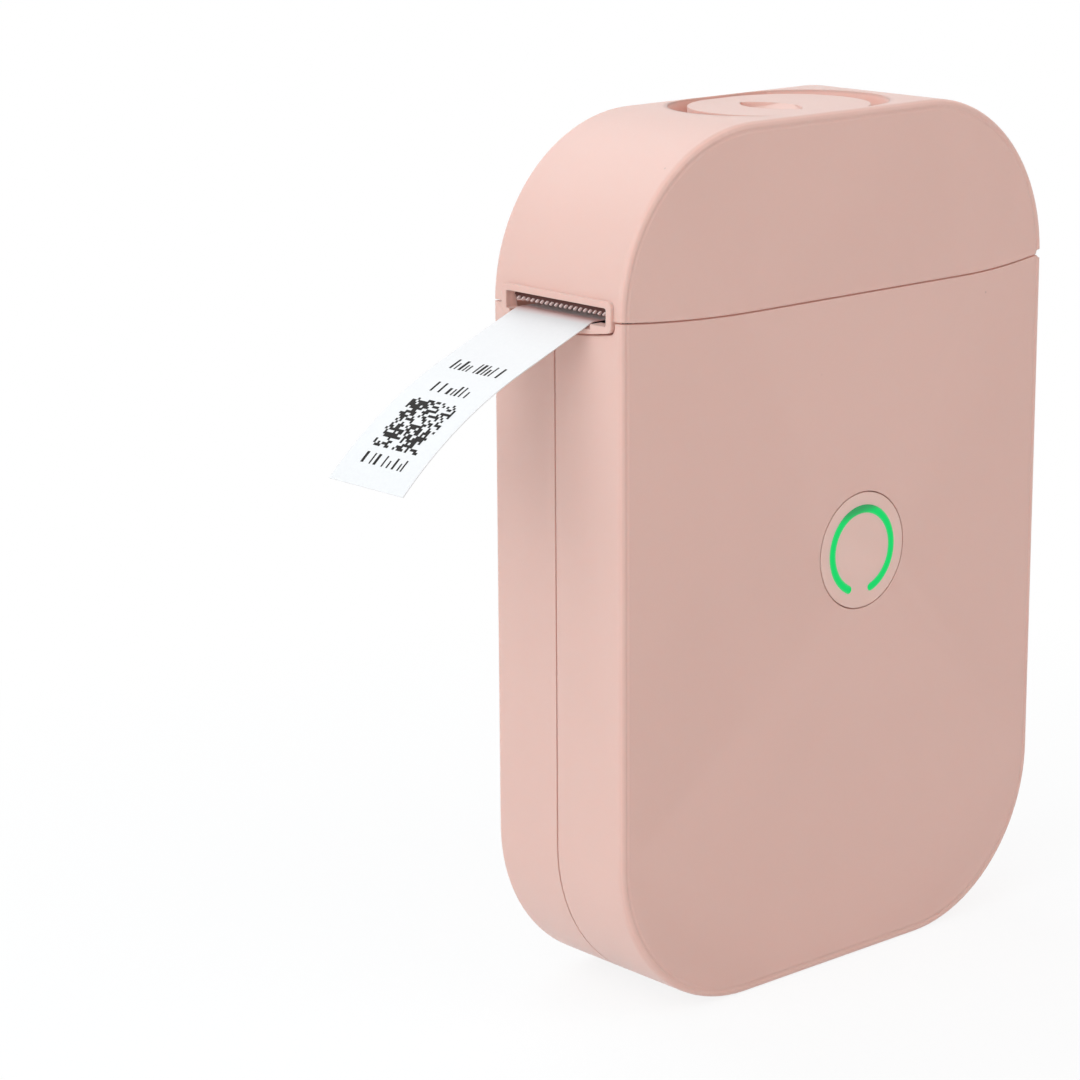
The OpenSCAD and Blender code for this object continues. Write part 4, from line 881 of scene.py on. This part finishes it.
class LABELER_OT_latch(bpy.types.Operator):
    """Finishes the latch lever"""
    bl_idname = "labeler.latch"
    bl_label = "Latch"

    def execute(self, context):
        dress(black_nylon("nylon_latch"), "latch_lever")
        return {"FINISHED"}


class LABELER_OT_drive(bpy.types.Operator):
    """Finishes the platen, the gears and the motor"""
    bl_idname = "labeler.drive"
    bl_label = "Print drive"

    def execute(self, context):
        dress(ground_silicone("silicone_sleeve"), "platen_rubber")
        dress(bright_steel("ground_shaft", "C4C5C7", 0.2), "platen_shaft", "idler_stud", "motor_shaft")
        dress(natural_acetal("acetal_gears"), "platen_gear", "idler_gear")
        dress(black_nylon("nylon_bushes"), "platen_bushes")
        dress(turned_brass("brass_pinion"), "motor_pinion")
        dress(bright_steel("zinc_plated_can", "AEB0B3", 0.36), "motor_can", "motor_flange")
        return {"FINISHED"}


class LABELER_OT_electronics(bpy.types.Operator):
    """Finishes the boards, their parts, the socket and the battery"""
    bl_idname = "labeler.electronics"
    bl_label = "Electronics"

    def execute(self, context):
        dress(solder_mask("green_board"), "main_board", "tag_reader")
        dress(black_nylon("epoxy_packages"), "board_parts", "tape_sensor")
        dress(natural_acetal("lamp_packages"), "ring_leds", "battery_plug")
        dress(bright_steel("socket_shell", "C2C3C6", 0.22), "usb_socket")
        dress(pouch_foil("pouch_laminate"), "battery")
        dress(ground_silicone("foam_tape"), "battery_pad")
        return {"FINISHED"}


class LABELER_OT_screws(bpy.types.Operator):
    """Finishes the screws"""
    bl_idname = "labeler.screws"
    bl_label = "Screws"

    def execute(self, context):
        dress(bright_steel("black_zinc_screws", "6E7073", 0.34),
              "screws_lid", "screws_body", "screws_chassis", "screws_board", "screws_motor")
        return {"FINISHED"}


class LABELER_PT_panel(bpy.types.Panel):
    """Lists the steps that dress the label printer"""
    bl_idname = "LABELER_PT_panel"
    bl_label = "Label Printer"
    bl_space_type = "VIEW_3D"
    bl_region_type = "UI"
    bl_category = "Label Printer"

    def draw(self, context):
        for operator in STEPS:
            self.layout.operator(operator.bl_idname)
        for group in SETTINGS:
            settings = getattr(context.scene, group)
            box = self.layout.box()
            for name in settings.bl_rna.properties.keys():
                if name not in ("rna_type", "name"):
                    box.prop(settings, name)


SETTINGS = {
    "labeler_case": LABELER_PG_case,
    "labeler_light": LABELER_PG_light,
    "labeler_tape": LABELER_PG_tape,
    "labeler_springs": LABELER_PG_springs,
    "labeler_stage": LABELER_PG_stage,
}
STEPS = (
    LABELER_OT_stage,
    LABELER_OT_case,
    LABELER_OT_power,
    LABELER_OT_tape,
    LABELER_OT_springs,
    LABELER_OT_head,
    LABELER_OT_latch,
    LABELER_OT_drive,
    LABELER_OT_electronics,
    LABELER_OT_screws,
)


def register():
    for cls in (*SETTINGS.values(), *STEPS, LABELER_PT_panel):
        bpy.utils.register_class(cls)
    for name, group in SETTINGS.items():
        setattr(bpy.types.Scene, name, bpy.props.PointerProperty(type=group))


def unregister():
    for name in SETTINGS:
        delattr(bpy.types.Scene, name)
    for cls in (LABELER_PT_panel, *reversed(STEPS), *reversed(list(SETTINGS.values()))):
        bpy.utils.unregister_class(cls)


def main():
    register()
    bpy.ops.labeler.stage()
    bpy.ops.labeler.case()
    bpy.ops.labeler.power()
    bpy.ops.labeler.tape()
    bpy.ops.labeler.springs()
    bpy.ops.labeler.head()
    bpy.ops.labeler.latch()
    bpy.ops.labeler.drive()
    bpy.ops.labeler.electronics()
    bpy.ops.labeler.screws()


if __name__ == "__main__":
    main()
